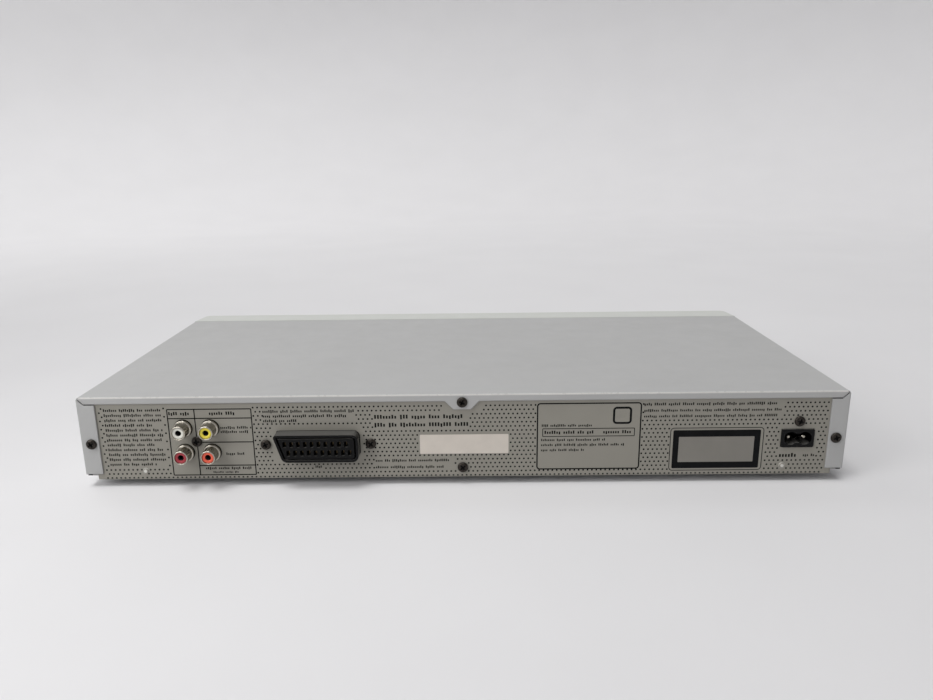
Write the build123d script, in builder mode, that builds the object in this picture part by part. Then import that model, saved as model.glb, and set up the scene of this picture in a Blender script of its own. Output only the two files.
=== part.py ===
from build123d import *
from math import acos, asin, atan2, cos, degrees, hypot, pi, radians, sin, sqrt, tan
import os

os.makedirs("parts", exist_ok=True)

# A slim disc player. Millimetres, Z up, Z = 0 under the feet, X to the right seen from the front,
# the front faces -Y and the sockets face +Y.

# Overall sizes
case_width = 430.0
case_height = 49.5
cover_depth = 192.0
fascia_depth = 21.0
foot_height = 4.5
jack_reach = 9.0
key_proud = 0.6

# Sheets and walls
cover_sheet = 0.8
chassis_sheet = 1.0
panel_sheet = 0.8
fascia_wall = 2.2
board_sheet = 1.6

# Fits
running_gap = 0.05
sliding_gap = 0.25
door_gap = 0.6
seam_gap = 0.4
snug_gap = 0.03

# Places that follow from the overall sizes
overall_depth = key_proud + fascia_depth + cover_depth - cover_sheet + jack_reach
y_front = key_proud - overall_depth / 2
y_seam = y_front + fascia_depth
y_rear = y_seam + cover_depth
y_panel = y_rear - cover_sheet
y_inner = y_panel - panel_sheet
half_width = case_width / 2
z_base = foot_height
z_floor = z_base + chassis_sheet
z_top = z_base + case_height
z_ceiling = z_top - cover_sheet

# Cover
cover_bend = 1.6
skirt_rise = 3.6
hem_width = 6.0
hem_drop = 1.6
hem_set_back = 2.0
rear_lip = 4.0
side_flange = 9.7
mitre_run = 4.0
mitre_gap = 0.7
tab_drop = 8.85
tab_top_half = 9.6
tab_low_half = 4.9
z_lip = z_top - rear_lip
z_skirt = z_base + skirt_rise
x_flange = half_width - side_flange

# Screws
screw_head_radius = 3.0
screw_head_height = 1.6
screw_head_round = 0.9
screw_radius = 1.5
screw_length = 7.0
screw_hole = screw_radius + sliding_gap
cross_length = 3.4
cross_width = 0.8
cross_depth = 0.9
tab_screw_drop = 4.6
flange_screw_drop = 27.6
x_flange_screw = half_width - 5.5
cover_screw_spots = [
    (-x_flange_screw, z_top - flange_screw_drop),
    (0, z_top - tab_screw_drop),
    (x_flange_screw, z_top - flange_screw_drop),
]

# Chassis and feet
chassis_side = 6.4
wall_screw_gap = 2.9
chassis_wall_height = case_height - chassis_sheet - flange_screw_drop - wall_screw_gap
rear_upstand = 12.0
chassis_half = half_width - chassis_side
panel_half = half_width - 2.0
panel_top_gap = 0.2
foot_radius = 12.0
foot_taper = 1.5
foot_inset_x = 35.0
foot_inset_y = 22.0
foot_recess = 2.5
foot_recess_radius = 5.0
vent_length = 40.0
vent_width = 2.5
vent_pitch = 6.0
vent_count = 9
bead_length = 110.0
bead_width = 7.0
bead_height = 0.8
bead_pitch = 30.0

# Boards, which carry the sockets: their outer edges keep to the case, their inner edges to the loader
board_rise = 5.5
main_depth = 119.6
power_depth = 147.6
main_side_gap = 10.0
power_side_gap = 8.0
main_loader_gap = 16.25
power_loader_gap = 18.25
standoff_radius = 3.0
standoff_inset = 6.0
z_board = z_floor + board_rise
z_parts = z_board + board_sheet
y_board_end = y_inner - chassis_sheet - 0.5

# Phono jacks
jack_inset = 65.6
jack_rise = 15.35
x_jacks = half_width - jack_inset
jack_pitch_x = 15.2
jack_pitch_z = 14.5
z_jacks = z_parts + jack_rise
barrel_radius = 4.15
barrel_bore = 3.3
jack_hole = 1.65
jack_hole_depth = 9.0
collar_radius = 5.0
collar_length = 2.2
insert_recess = 0.6
jack_screw_shift = 0.6
jack_screw_drop = 0.75
jack_block_width = 30.0
jack_block_depth = 13.0
jack_spots = [
    (x_jacks + sx * jack_pitch_x / 2, z_jacks + sz * jack_pitch_z / 2) for sx in (1, -1) for sz in (1, -1)
]

# 21-way socket
scart_inset = 133.5
scart_rise = 12.4
x_scart = half_width - scart_inset
z_scart = z_parts + scart_rise
scart_half = 23.5
scart_half_height = 8.05
scart_slant = 5.0
scart_corner = 3.5
scart_tip = 1.5
scart_proud = 7.5
scart_wall = 1.3
scart_moat = 0.9
scart_moat_depth = 8.5
scart_depth = 13.0
scart_flange = 3.0
scart_ears = 8.0
contact_pitch = 3.81
contact_row = 2.54
contact_shift = -0.65
contact_width = 2.0
contact_height = 3.4
contact_slot_depth = 6.5
leaf_sheet = 0.5
leaf_set_back = 2.6
scart_screw_pitch = 59.4

# Mains inlet
inlet_inset = 26.75
inlet_rise = 13.55
x_inlet = inlet_inset - half_width
z_inlet = z_parts + inlet_rise
inlet_width = 18.3
inlet_height = 10.7
inlet_proud = 0.9
inlet_cavity = 12.0
inlet_body_depth = 16.0
plug_width = 15.4
plug_height = 7.6
plug_waist = 5.4
pin_pitch = 8.6
pin_radius = 1.2
pin_length = 9.5

# Rear panel screws, beside the sockets and at the middle of the lower edge
bottom_screw_rise = 5.7
inlet_screw_rise = 9.95
panel_screw_spots = [
    (x_jacks + jack_screw_shift, z_jacks - jack_screw_drop),
    (x_scart - scart_screw_pitch / 2, z_scart),
    (x_scart + scart_screw_pitch / 2, z_scart),
    (0, z_base + bottom_screw_rise),
    (x_inlet - 0.45, z_inlet + inlet_screw_rise),
]
dome_radius = 1.75
dome_height = 0.7
dome_inset = 34.0
x_dome = half_width - dome_inset
dome_rise = 5.1

# Front panel, its window and keys
fascia_taper = 3.0
fascia_corner = 5.0
fascia_edge = 0.8
lip_reach = 3.0
lip_thick = 1.1
window_width = 84.0
window_height = 17.0
window_sheet = 1.4
window_corner = 2.5
window_border = 2.0
window_drop = 15.5
window_offset = 132.0
z_window = z_top - window_drop
key_height = 6.0
key_travel = 0.7
key_stem = 1.6
key_flange = 1.0
power_key_radius = 6.0
power_inset = 27.0
x_power = power_inset - half_width
z_power = z_base + 30.0
z_keys = z_base + 12.0
door_sheet = 3.0
door_height = 17.0

# Disc and tray
x_loader = -40.0
x_window = x_loader + window_offset
disc_radius = 60.0
small_disc_radius = 40.0
disc_play = 0.5
disc_sheet = 1.2
seat_height = 26.5
tray_plate = 2.0
rim_height = 2.0
tray_half = 68.5
tray_front_rim = 3.5
tray_length = 172.0
tray_travel = 132.0
spindle_window = 19.0
tail_half = 40.0
rib = 1.6
rib_depth = 2.5
z_seat = z_floor + seat_height
z_tray = z_seat - tray_plate
z_rim = z_seat + rim_height
y_tray = y_front + door_sheet
y_tray_end = y_tray + tray_length
y_disc = y_tray + tray_front_rim + disc_radius + disc_play
door_half = tray_half + 2.0
z_door = z_seat + 1.5

# Loader frame
rail_wall = 3.0
ledge = 2.8
ledge_sheet = 1.6
frame_floor = 2.0
frame_height = 4.0
frame_front_gap = 3.3
frame_rear_gap = 4.0
shelf_height = 11.5
ear = 10.0
ear_width = 12.0
bridge_sheet = 1.2
bridge_half = 22.0
frame_half = tray_half + sliding_gap + rail_wall
z_frame = z_floor + frame_height
z_shelf = z_floor + shelf_height + frame_floor
z_bridge = z_rim + 2.5
y_frame = y_tray + frame_front_gap
y_frame_end = y_tray_end + frame_rear_gap
ear_spots = [
    (x_loader + sx * (frame_half + ear / 2), y) for sx in (-1, 1) for y in (y_disc - 10.0, y_frame_end - 12.0)
]

# Traverse: a frame that hinges at its rear, lowered by cam pins at its front
arm = 84.0
turntable_height = 14.0
disc_lift = 2.0
drop_angle = radians(5.5)
cam_arm = 102.0
frame_to_cam = 2.0
z_hinge = z_seat + disc_lift - turntable_height
y_hinge = y_disc + arm
deck = Plane(
    origin=(x_loader, y_hinge, z_hinge), x_dir=(1, 0, 0), z_dir=(0, -sin(drop_angle), cos(drop_angle))
)
lift_half = 42.0
lift_window = 35.0
lift_low = -3.0
lift_high = 2.3
lift_front = cam_arm - frame_to_cam
frame_rear = 4.0
front_bar = 3.5
rear_bar = 7.0
trunnion_radius = 2.0
trunnion_length = 6.0
cam_pin_radius = 1.5
cam_pin_spread = 30.0
cam_pin_length = frame_to_cam + 0.9
damper_height = 1.7
damper_radius = 3.2
plate_sheet = 1.2
plate_low = lift_high + damper_height
plate_high = plate_low + plate_sheet
motor_radius = 11.0
motor_height = plate_low - lift_low
shaft_radius = 1.0
turntable_radius = 15.0
turntable_sheet = 2.0
hub_radius = 7.3
hub_height = 2.2
rail_radius = 1.5
rail_spread = 20.0
rail_rise = 7.5
rail_front = -73.2
rail_end = -10.0
feed_travel = 34.0
lens_inner = 24.0
sled_half_length = 10.0
screw_offset = 30.0
screw_rise = 4.6
feed_screw_radius = 1.2
feed_pitch = 3.0
feed_motor_radius = 4.5
feed_motor_length = 11.0
lens_radius = 4.4
lens_height = 3.0
sled_top = 9.6
lens_low = sled_top - 1.6
focus_travel = 0.5

# Cam slider
cam_travel = 16.0
cam_wall = 2.0
cam_slot_gap = 0.25
cam_flange = 2.0
cam_reach = 10.0
boss_radius = 1.5
x_boss = 46.0
z_pin_low = z_hinge - cam_arm * sin(drop_angle)
y_cam = y_hinge - cam_arm

# Gears
rack_module = 1.0
drive_teeth = 18
gear_module = 0.8
wheel_teeth = 40
pinion_teeth = 12
backlash = 0.12
post_radius = 1.5
tier = 3.0
tier_gap = 0.25
pulley_groove = 8.5
motor_groove = 2.4
pulley_flange = 1.4
belt_side = 1.2
belt_angle = radians(-25.0)
belt_span = 41.0
loading_motor_radius = 12.0
loading_motor_height = 10.0
motor_boss = 3.2
pinion_radius = rack_module * drive_teeth / 2
y_cam_rack = y_cam - cam_wall / 2 - cam_reach
x_rack = x_loader - 57.0
x_drive = x_rack + pinion_radius
y_drive = y_cam_rack - pinion_radius
centre_distance = gear_module * (wheel_teeth + pinion_teeth) / 2
x_pulley = x_drive + centre_distance * cos(belt_angle)
y_pulley = y_drive + centre_distance * sin(belt_angle)
x_motor = x_pulley + belt_span
z_tier_a = z_shelf + 0.3
z_tier_b = z_tier_a + tier + tier_gap
z_tier_c = z_tier_b + tier + tier_gap

# Board edges, seen from above
main_left = x_loader + frame_half + main_loader_gap
main_right = half_width - main_side_gap
main_front = y_board_end - main_depth
power_left = power_side_gap - half_width
power_right = x_loader - frame_half - power_loader_gap
power_front = y_board_end - power_depth


def upright(y):
    """The upright plane at depth y. Its sketches are seen from the front, and it faces the front."""
    return Plane.XZ.offset(-y)


def deck_upright(y):
    """The upright plane of the tilted traverse at y from its hinge. It faces the front."""
    return Plane(origin=deck.from_local_coords((0, y, 0)), x_dir=(1, 0, 0), z_dir=-deck.y_dir)


def involute(angle):
    """The involute function of a pressure angle."""
    return tan(angle) - angle


def gear_points(module, teeth, first_angle, missing=()):
    """Corners of a gear's outline: each tooth has straight flanks between the true root and tip widths."""
    pressure = radians(20)
    pitch_radius = module * teeth / 2
    base_radius = pitch_radius * cos(pressure)
    tip_radius = pitch_radius + 0.9 * module
    root_radius = pitch_radius - 1.15 * module
    half_pitch = pi / (2 * teeth) - backlash / (2 * pitch_radius)
    half_root = half_pitch + involute(pressure)
    half_tip = half_root - involute(acos(base_radius / tip_radius))
    points = []
    for tooth in range(teeth):
        middle = first_angle + tooth * 2 * pi / teeth
        foot = [(root_radius, -half_root), (root_radius, half_root)]
        tip = [(tip_radius, -half_tip), (tip_radius, half_tip)]
        corners = foot if tooth in missing else [foot[0], *tip, foot[1]]
        points += [(radius * cos(middle + turn), radius * sin(middle + turn)) for radius, turn in corners]
    return points


def rack_points(module, teeth, height):
    """Corners of a rack: teeth along X about the pitch line, pointing to +Y, on a bar below them."""
    slope = tan(radians(20))
    addendum, dedendum = 0.9 * module, 1.15 * module
    half = (pi * module / 2 - backlash) / 2
    half_tip, half_root = half - addendum * slope, half + dedendum * slope
    points = []
    for tooth in range(teeth):
        middle = (tooth - (teeth - 1) / 2) * pi * module
        points += [
            (middle - half_root, -dedendum),
            (middle - half_tip, addendum),
            (middle + half_tip, addendum),
            (middle + half_root, -dedendum),
        ]
    return points + [(points[-1][0], -height), (points[0][0], -height)]


# Outline of the 21-way socket's shroud: a long rounded box with one slanted end, drawn as (x, z)
with BuildSketch() as scart_shape:
    with BuildLine():
        x_tip = x_scart + scart_half + scart_tip / 3
        Polyline(
            (x_scart - scart_half, z_scart - scart_half_height),
            (x_scart - scart_half, z_scart + scart_half_height),
            (x_tip, z_scart + scart_half_height),
            (x_tip - scart_slant, z_scart - scart_half_height),
            close=True,
        )
    make_face()
    fillet(scart_shape.vertices().sort_by(Axis.X)[-2], radius=scart_corner)
    fillet(scart_shape.vertices().sort_by(Axis.X)[-1], radius=scart_tip)
    fillet(scart_shape.vertices().group_by(Axis.X)[0], radius=scart_corner)

# Cover: one sheet folded down at the sides and in at the rear, its side walls hemmed inwards at the bottom
with BuildPart() as top_cover:
    with BuildSketch(upright(y_rear)) as cover_profile:
        with Locations((0, (z_skirt + z_top) / 2)):
            Rectangle(case_width, z_top - z_skirt)
    extrude(amount=cover_depth - seam_gap)
    long_folds = top_cover.edges().filter_by(Axis.Y).group_by(Axis.Z)[-1]
    fillet(long_folds, radius=cover_bend)
    front_mouth = top_cover.faces().sort_by(Axis.Y)[0]
    underside = top_cover.faces().sort_by(Axis.Z)[0]
    offset(amount=-cover_sheet, openings=[front_mouth, underside])
    with BuildSketch(upright(y_rear - hem_set_back)) as hem_profile:
        for side in (-1, 1):
            with BuildLine():
                Polyline(
                    (side * half_width, z_skirt),
                    (side * half_width, z_skirt - hem_drop),
                    (side * (half_width - hem_width), z_skirt - hem_drop),
                    (side * (half_width - hem_width), z_skirt - hem_drop + cover_sheet),
                    (side * (half_width - cover_sheet), z_skirt - hem_drop + cover_sheet),
                    (side * (half_width - cover_sheet), z_skirt),
                    close=True,
                )
            make_face()
    extrude(amount=cover_depth - hem_set_back - seam_gap)
    with BuildSketch(upright(y_rear)) as rear_window:
        with BuildLine():
            Polyline(
                (-x_flange, z_skirt),
                (-x_flange, z_lip),
                (-tab_top_half, z_lip),
                (-tab_low_half, z_top - tab_drop),
                (tab_low_half, z_top - tab_drop),
                (tab_top_half, z_lip),
                (x_flange, z_lip),
                (x_flange, z_skirt),
                close=True,
            )
        make_face()
    extrude(amount=cover_sheet, mode=Mode.SUBTRACT)
    with BuildSketch(upright(y_rear)) as mitre_slots:
        mitre_rise = mitre_gap * hypot(mitre_run, rear_lip) / mitre_run
        for side in (-1, 1):
            with BuildLine():
                Polyline(
                    (side * x_flange, z_lip),
                    (side * x_flange, z_lip - mitre_gap),
                    (side * (half_width - mitre_run), z_lip - mitre_gap),
                    (side * half_width, z_top - mitre_rise),
                    (side * half_width, z_top),
                    (side * (half_width - mitre_run), z_lip),
                    close=True,
                )
            make_face()
    extrude(amount=cover_sheet, mode=Mode.SUBTRACT)
    with BuildSketch(upright(y_rear)) as cover_holes:
        with Locations(*cover_screw_spots):
            Circle(screw_hole)
    extrude(amount=cover_sheet, mode=Mode.SUBTRACT)
top_cover.part.label = "top_cover"
export_step(top_cover.part, "parts/top_cover.step")

# Standoff places under the boards and the loader
rear_inset = 37.5
main_spots = [
    (x, y)
    for x in (main_left + standoff_inset, main_right - standoff_inset)
    for y in (main_front + standoff_inset, y_board_end - rear_inset)
]
power_spots = [
    (x, y)
    for x in (power_left + standoff_inset, power_right - standoff_inset)
    for y in (power_front + standoff_inset, y_board_end - rear_inset)
]

# Chassis: a folded tray with low side walls, a rear upstand, pressed bosses, stiffening beads and vent slots
vent_spots = [((main_left + main_right) / 2, y_board_end - main_depth / 2 - vent_pitch)]
vent_spots += [((power_left + power_right) / 2, y_board_end - power_depth / 2 - vent_pitch)]
bead_spots = [(x_loader, y_disc + bead_pitch * step) for step in (-0.5, 0.5, 1.5)]
socket_cuts = [
    (x_jacks, jack_block_width + 1),
    (x_scart, scart_screw_pitch + scart_ears + 1),
    (x_inlet, inlet_width + 4),
]
with BuildPart() as bottom_chassis:
    with BuildSketch(Plane.XY.offset(z_base)):
        with Locations((0, (y_seam + y_inner) / 2)):
            Rectangle(2 * chassis_half, y_inner - y_seam)
    extrude(amount=chassis_sheet)
    with BuildSketch(Plane.XY.offset(z_floor)):
        with Locations(
            (chassis_sheet / 2 - chassis_half, (y_seam + y_inner) / 2),
            (chassis_half - chassis_sheet / 2, (y_seam + y_inner) / 2),
        ):
            Rectangle(chassis_sheet, y_inner - y_seam - 2 * chassis_sheet)
    extrude(amount=chassis_wall_height)
    with BuildSketch(Plane.XY.offset(z_floor)):
        with Locations((0, y_inner - chassis_sheet / 2)):
            Rectangle(2 * chassis_half - 4 * chassis_sheet, chassis_sheet)
    extrude(amount=rear_upstand)
    with BuildSketch(Plane.XY.offset(z_floor)):
        with Locations(*ear_spots):
            Circle(standoff_radius + 1)
    extrude(amount=frame_height)
    with BuildSketch(Plane.XY.offset(z_floor)):
        with Locations(*main_spots, *power_spots):
            Circle(standoff_radius)
    extrude(amount=board_rise)
    with BuildSketch(Plane.XY.offset(z_floor)):
        with Locations(*bead_spots):
            SlotOverall(bead_length, bead_width)
    extrude(amount=bead_height)
    with BuildSketch(Plane.XY.offset(z_base)):
        with Locations(*bead_spots):
            SlotOverall(bead_length - 2 * chassis_sheet, bead_width - 2 * chassis_sheet)
    extrude(amount=bead_height, mode=Mode.SUBTRACT)
    with BuildSketch(Plane.XY.offset(z_base)):
        with Locations(*vent_spots):
            with GridLocations(0, vent_pitch, 1, vent_count):
                SlotOverall(vent_length, vent_width)
    extrude(amount=chassis_sheet, mode=Mode.SUBTRACT)
    with BuildSketch(Plane.XY.offset(z_base)):
        with Locations(*ear_spots, *main_spots, *power_spots):
            Circle(screw_radius)
    extrude(amount=chassis_sheet + board_rise, mode=Mode.SUBTRACT)
    with BuildSketch(upright(y_inner)):
        with Locations((0, z_base + bottom_screw_rise)):
            Circle(screw_hole)
        for x, width in socket_cuts:
            with Locations((x, z_parts + rear_upstand / 2)):
                Rectangle(width, rear_upstand)
    extrude(amount=chassis_sheet, mode=Mode.SUBTRACT)
bottom_chassis.part.label = "bottom_chassis"
export_step(bottom_chassis.part, "parts/bottom_chassis.step")

# Feet, with a hollow for their fixing
x_foot = half_width - foot_inset_x
foot_spots = [(x, y) for x in (-x_foot, x_foot) for y in (y_seam + foot_inset_y, y_inner - foot_inset_y)]
with BuildPart() as feet:
    with BuildSketch(Plane.XY):
        with Locations(*foot_spots):
            Circle(foot_radius - foot_taper)
    extrude(amount=foot_height, taper=-degrees(atan2(foot_taper, foot_height)))
    with BuildSketch(Plane.XY):
        with Locations(*foot_spots):
            Circle(foot_recess_radius)
    extrude(amount=foot_recess, mode=Mode.SUBTRACT)
feet.part.label = "feet"
export_step(feet.part, "parts/feet.step")

# Rear panel: a flat sheet behind the cover's lip, notched at its corners
z_panel_top = z_ceiling - panel_top_gap
notch_width = panel_half - x_flange - 0.5
notch_height = z_panel_top - z_lip + mitre_gap + 0.6
with BuildPart() as rear_panel:
    with BuildSketch(upright(y_panel)) as panel_outline:
        with Locations((0, (z_skirt + z_panel_top) / 2)):
            Rectangle(2 * panel_half, z_panel_top - z_skirt)
        with Locations((0, (z_base + z_skirt) / 2)):
            Rectangle(2 * chassis_half, z_skirt - z_base)
        with Locations(*jack_spots):
            Circle(collar_radius + sliding_gap, mode=Mode.SUBTRACT)
        with Locations((x_inlet, z_inlet)):
            Rectangle(inlet_width + sliding_gap, inlet_height + sliding_gap, mode=Mode.SUBTRACT)
        offset(scart_shape.sketch.faces(), amount=sliding_gap, mode=Mode.SUBTRACT)
        with Locations((-panel_half, z_panel_top), (panel_half, z_panel_top)):
            Rectangle(2 * notch_width, 2 * notch_height, mode=Mode.SUBTRACT)
        with Locations(*panel_screw_spots, *cover_screw_spots):
            Circle(screw_radius, mode=Mode.SUBTRACT)
    extrude(amount=panel_sheet)
    with BuildSketch(upright(y_panel)):
        with Locations((-x_dome, z_base + dome_rise), (x_dome, z_base + dome_rise)):
            Circle(dome_radius)
    extrude(amount=-dome_height, taper=35)
rear_panel.part.label = "rear_panel"
export_step(rear_panel.part, "parts/rear_panel.step")


def head_edges(group, depth):
    """The outer rims of the screw heads that face the rear at this depth."""
    return group.edges().filter_by(GeomType.CIRCLE).filter_by_position(Axis.Y, depth - 0.01, depth + 0.01)


# Cover screws: domed heads with a cross recess
with BuildPart() as cover_screws:
    with BuildSketch(upright(y_rear)):
        with Locations(*cover_screw_spots):
            Circle(screw_head_radius)
    extrude(amount=-screw_head_height)
    fillet(head_edges(cover_screws, y_rear + screw_head_height), radius=screw_head_round)
    with BuildSketch(upright(y_rear)):
        with Locations(*cover_screw_spots):
            Circle(screw_radius - snug_gap)
    extrude(amount=screw_length)
    with BuildSketch(upright(y_rear + screw_head_height)):
        with Locations(*cover_screw_spots):
            Rectangle(cross_length, cross_width)
            Rectangle(cross_width, cross_length)
    extrude(amount=cross_depth, mode=Mode.SUBTRACT)
cover_screws.part.label = "cover_screws"
export_step(cover_screws.part, "parts/cover_screws.step")

# Panel screws: the same kind, one sheet further in
with BuildPart() as panel_screws:
    with BuildSketch(upright(y_panel)):
        with Locations(*panel_screw_spots):
            Circle(screw_head_radius)
    extrude(amount=-screw_head_height)
    fillet(head_edges(panel_screws, y_panel + screw_head_height), radius=screw_head_round)
    with BuildSketch(upright(y_panel)):
        with Locations(*panel_screw_spots):
            Circle(screw_radius - snug_gap)
    extrude(amount=screw_length)
    with BuildSketch(upright(y_panel + screw_head_height)):
        with Locations(*panel_screw_spots):
            Rectangle(cross_length, cross_width)
            Rectangle(cross_width, cross_length)
    extrude(amount=cross_depth, mode=Mode.SUBTRACT)
panel_screws.part.label = "panel_screws"
export_step(panel_screws.part, "parts/panel_screws.step")

# Phono jacks: a moulded block on the board, nickel barrels through the panel, coloured inserts
block_top = z_jacks + jack_pitch_z / 2 + collar_radius + 1
with BuildPart() as jack_block:
    with BuildSketch(upright(y_inner)) as block_outline:
        with Locations((x_jacks, (z_parts + block_top) / 2)):
            Rectangle(jack_block_width, block_top - z_parts)
    extrude(amount=jack_block_depth)
    block_rim = jack_block.edges().filter_by(Axis.Y)
    chamfer(block_rim, length=1.0)
    with BuildSketch(upright(y_inner)):
        with Locations(*jack_spots):
            Circle(barrel_bore)
    extrude(amount=jack_hole_depth - jack_reach + 4, mode=Mode.SUBTRACT)
    with BuildSketch(upright(y_inner)):
        with Locations((x_jacks + jack_screw_shift, z_jacks - jack_screw_drop)):
            Circle(screw_radius)
    extrude(amount=screw_length, mode=Mode.SUBTRACT)
jack_block.part.label = "jack_block"
export_step(jack_block.part, "parts/jack_block.step")

y_jack_tip = y_panel + jack_reach
with BuildPart() as jack_shells:
    with BuildSketch(upright(y_inner)):
        with Locations(*jack_spots):
            Circle(barrel_radius)
    extrude(amount=-(y_jack_tip - y_inner))
    with BuildSketch(upright(y_inner)):
        with Locations(*jack_spots):
            Circle(collar_radius)
    extrude(amount=-(panel_sheet + collar_length))
    with BuildSketch(upright(y_inner)):
        with Locations(*jack_spots):
            Circle(barrel_bore)
    extrude(amount=-(y_jack_tip - y_inner), mode=Mode.SUBTRACT)
jack_shells.part.label = "jack_shells"
export_step(jack_shells.part, "parts/jack_shells.step")

jack_colours = ["white", "red", "yellow", "orange"]
for colour, spot in zip(jack_colours, jack_spots):
    with BuildPart() as jack_insert:
        with BuildSketch(upright(y_jack_tip - insert_recess)):
            with Locations(spot):
                Circle(barrel_bore - snug_gap)
        extrude(amount=y_jack_tip - insert_recess - y_inner)
        with BuildSketch(upright(y_jack_tip - insert_recess)):
            with Locations(spot):
                Circle(jack_hole)
        extrude(amount=jack_hole_depth, mode=Mode.SUBTRACT)
    jack_insert.part.label = f"jack_insert_{colour}"
    export_step(jack_insert.part, f"parts/jack_insert_{colour}.step")

# 21-way socket: a shroud with one slanted end round a block of contact slots, a moat between them
contact_spots = [
    (x_scart + contact_shift + (column - 4.5 + side / 4) * contact_pitch, z_scart + side * contact_row)
    for side in (1, -1)
    for column in range(10)
]
scart_screw_spots = [(x_scart + side * scart_screw_pitch / 2, z_scart) for side in (-1, 1)]
y_socket = y_panel + scart_proud
with BuildPart() as scart_socket:
    with BuildSketch(upright(y_socket)):
        add(scart_shape.sketch)
    extrude(amount=scart_proud + panel_sheet + scart_depth)
    with BuildSketch(upright(y_socket)):
        offset(scart_shape.sketch.faces(), amount=-scart_wall)
        offset(scart_shape.sketch.faces(), amount=-scart_wall - scart_moat, mode=Mode.SUBTRACT)
    extrude(amount=scart_moat_depth, mode=Mode.SUBTRACT)
    with BuildSketch(upright(y_socket)):
        with Locations(*contact_spots):
            RectangleRounded(contact_width, contact_height, contact_width / 3)
    extrude(amount=contact_slot_depth, mode=Mode.SUBTRACT)
    with BuildSketch(upright(y_inner)):
        with Locations((x_scart, z_scart)):
            RectangleRounded(scart_screw_pitch + scart_ears, 2 * scart_half_height, scart_corner)
    extrude(amount=scart_flange)
    with BuildSketch(upright(y_inner)):
        with Locations((x_scart, (z_parts + z_scart) / 2)):
            Rectangle(2 * (scart_half - scart_wall - scart_moat), z_scart - z_parts)
    extrude(amount=scart_depth)
    with BuildSketch(upright(y_inner)):
        with Locations(*scart_screw_spots):
            Circle(screw_radius)
    extrude(amount=scart_depth, mode=Mode.SUBTRACT)
scart_socket.part.label = "scart_socket"
export_step(scart_socket.part, "parts/scart_socket.step")

with BuildPart() as scart_contacts:
    with BuildSketch(upright(y_socket - contact_slot_depth)):
        with Locations(*contact_spots):
            Rectangle(leaf_sheet, contact_height - 2 * leaf_sheet)
    extrude(amount=-(contact_slot_depth - leaf_set_back))
scart_contacts.part.label = "scart_contacts"
export_step(scart_contacts.part, "parts/scart_contacts.step")

# Mains inlet: a box with a figure-8 cavity and two pins
lobe_offset = (plug_width - plug_height) / 2
inlet_body_top = z_inlet + inlet_height / 2 + 1
pin_spots = [(x_inlet - pin_pitch / 2, z_inlet), (x_inlet + pin_pitch / 2, z_inlet)]
with BuildPart() as mains_inlet:
    with BuildSketch(upright(y_panel + inlet_proud)):
        with Locations((x_inlet, z_inlet)):
            RectangleRounded(inlet_width, inlet_height, 1.0)
    extrude(amount=inlet_proud + panel_sheet)
    with BuildSketch(upright(y_inner)):
        with Locations((x_inlet, (z_parts + inlet_body_top) / 2)):
            Rectangle(inlet_width + 3, inlet_body_top - z_parts)
    extrude(amount=inlet_body_depth)
    with BuildSketch(upright(y_panel + inlet_proud)):
        with Locations((x_inlet - lobe_offset, z_inlet), (x_inlet + lobe_offset, z_inlet)):
            Circle(plug_height / 2)
        with Locations((x_inlet, z_inlet)):
            Rectangle(2 * lobe_offset, plug_waist)
    extrude(amount=inlet_cavity, mode=Mode.SUBTRACT)
    with BuildSketch(upright(y_panel + inlet_proud - inlet_cavity)):
        with Locations(*pin_spots):
            Circle(pin_radius + snug_gap)
    extrude(amount=inlet_body_depth, mode=Mode.SUBTRACT)
mains_inlet.part.label = "mains_inlet"
export_step(mains_inlet.part, "parts/mains_inlet.step")

with BuildPart() as inlet_pins:
    with BuildSketch(upright(y_panel + inlet_proud - inlet_cavity + pin_length)):
        with Locations(*pin_spots):
            Circle(pin_radius)
    extrude(amount=pin_length + 6)
    pin_tips = inlet_pins.faces().sort_by(Axis.Y)[-2:].edges()
    chamfer(pin_tips, length=0.5)
inlet_pins.part.label = "inlet_pins"
export_step(inlet_pins.part, "parts/inlet_pins.step")

# Key places on the front: each is its distance from the window's middle, and its width
small_key = 14.0
large_key = 22.0
key_row = {
    "open_close_key": (x_window - 32.0, small_key),
    "play_key": (x_window - 6.0, large_key),
    "stop_key": (x_window + 20.0, small_key),
    "skip_back_key": (x_window + 41.0, small_key),
    "skip_forward_key": (x_window + 61.0, small_key),
}

# Front boards stand behind the front panel, on its bosses
front_board_gap = 14.0
y_front_board = y_front + front_board_gap
front_board_left = x_loader + frame_half + 4.5
front_board_right = half_width - 15.0
small_board_left = x_power - 16
small_board_right = x_power + 16
z_front_board = z_base + 5.0
front_board_height = case_height - 9.5
y_behind = y_front + fascia_wall
board_boss_spots = [
    (x, z)
    for x in (front_board_left + 4, front_board_right - 4)
    for z in (z_front_board + 3.5, z_front_board + front_board_height - 3.5)
]
board_boss_spots += [(x, z_front_board + 3.5) for x in (small_board_left + 4, small_board_right - 4)]

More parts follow.
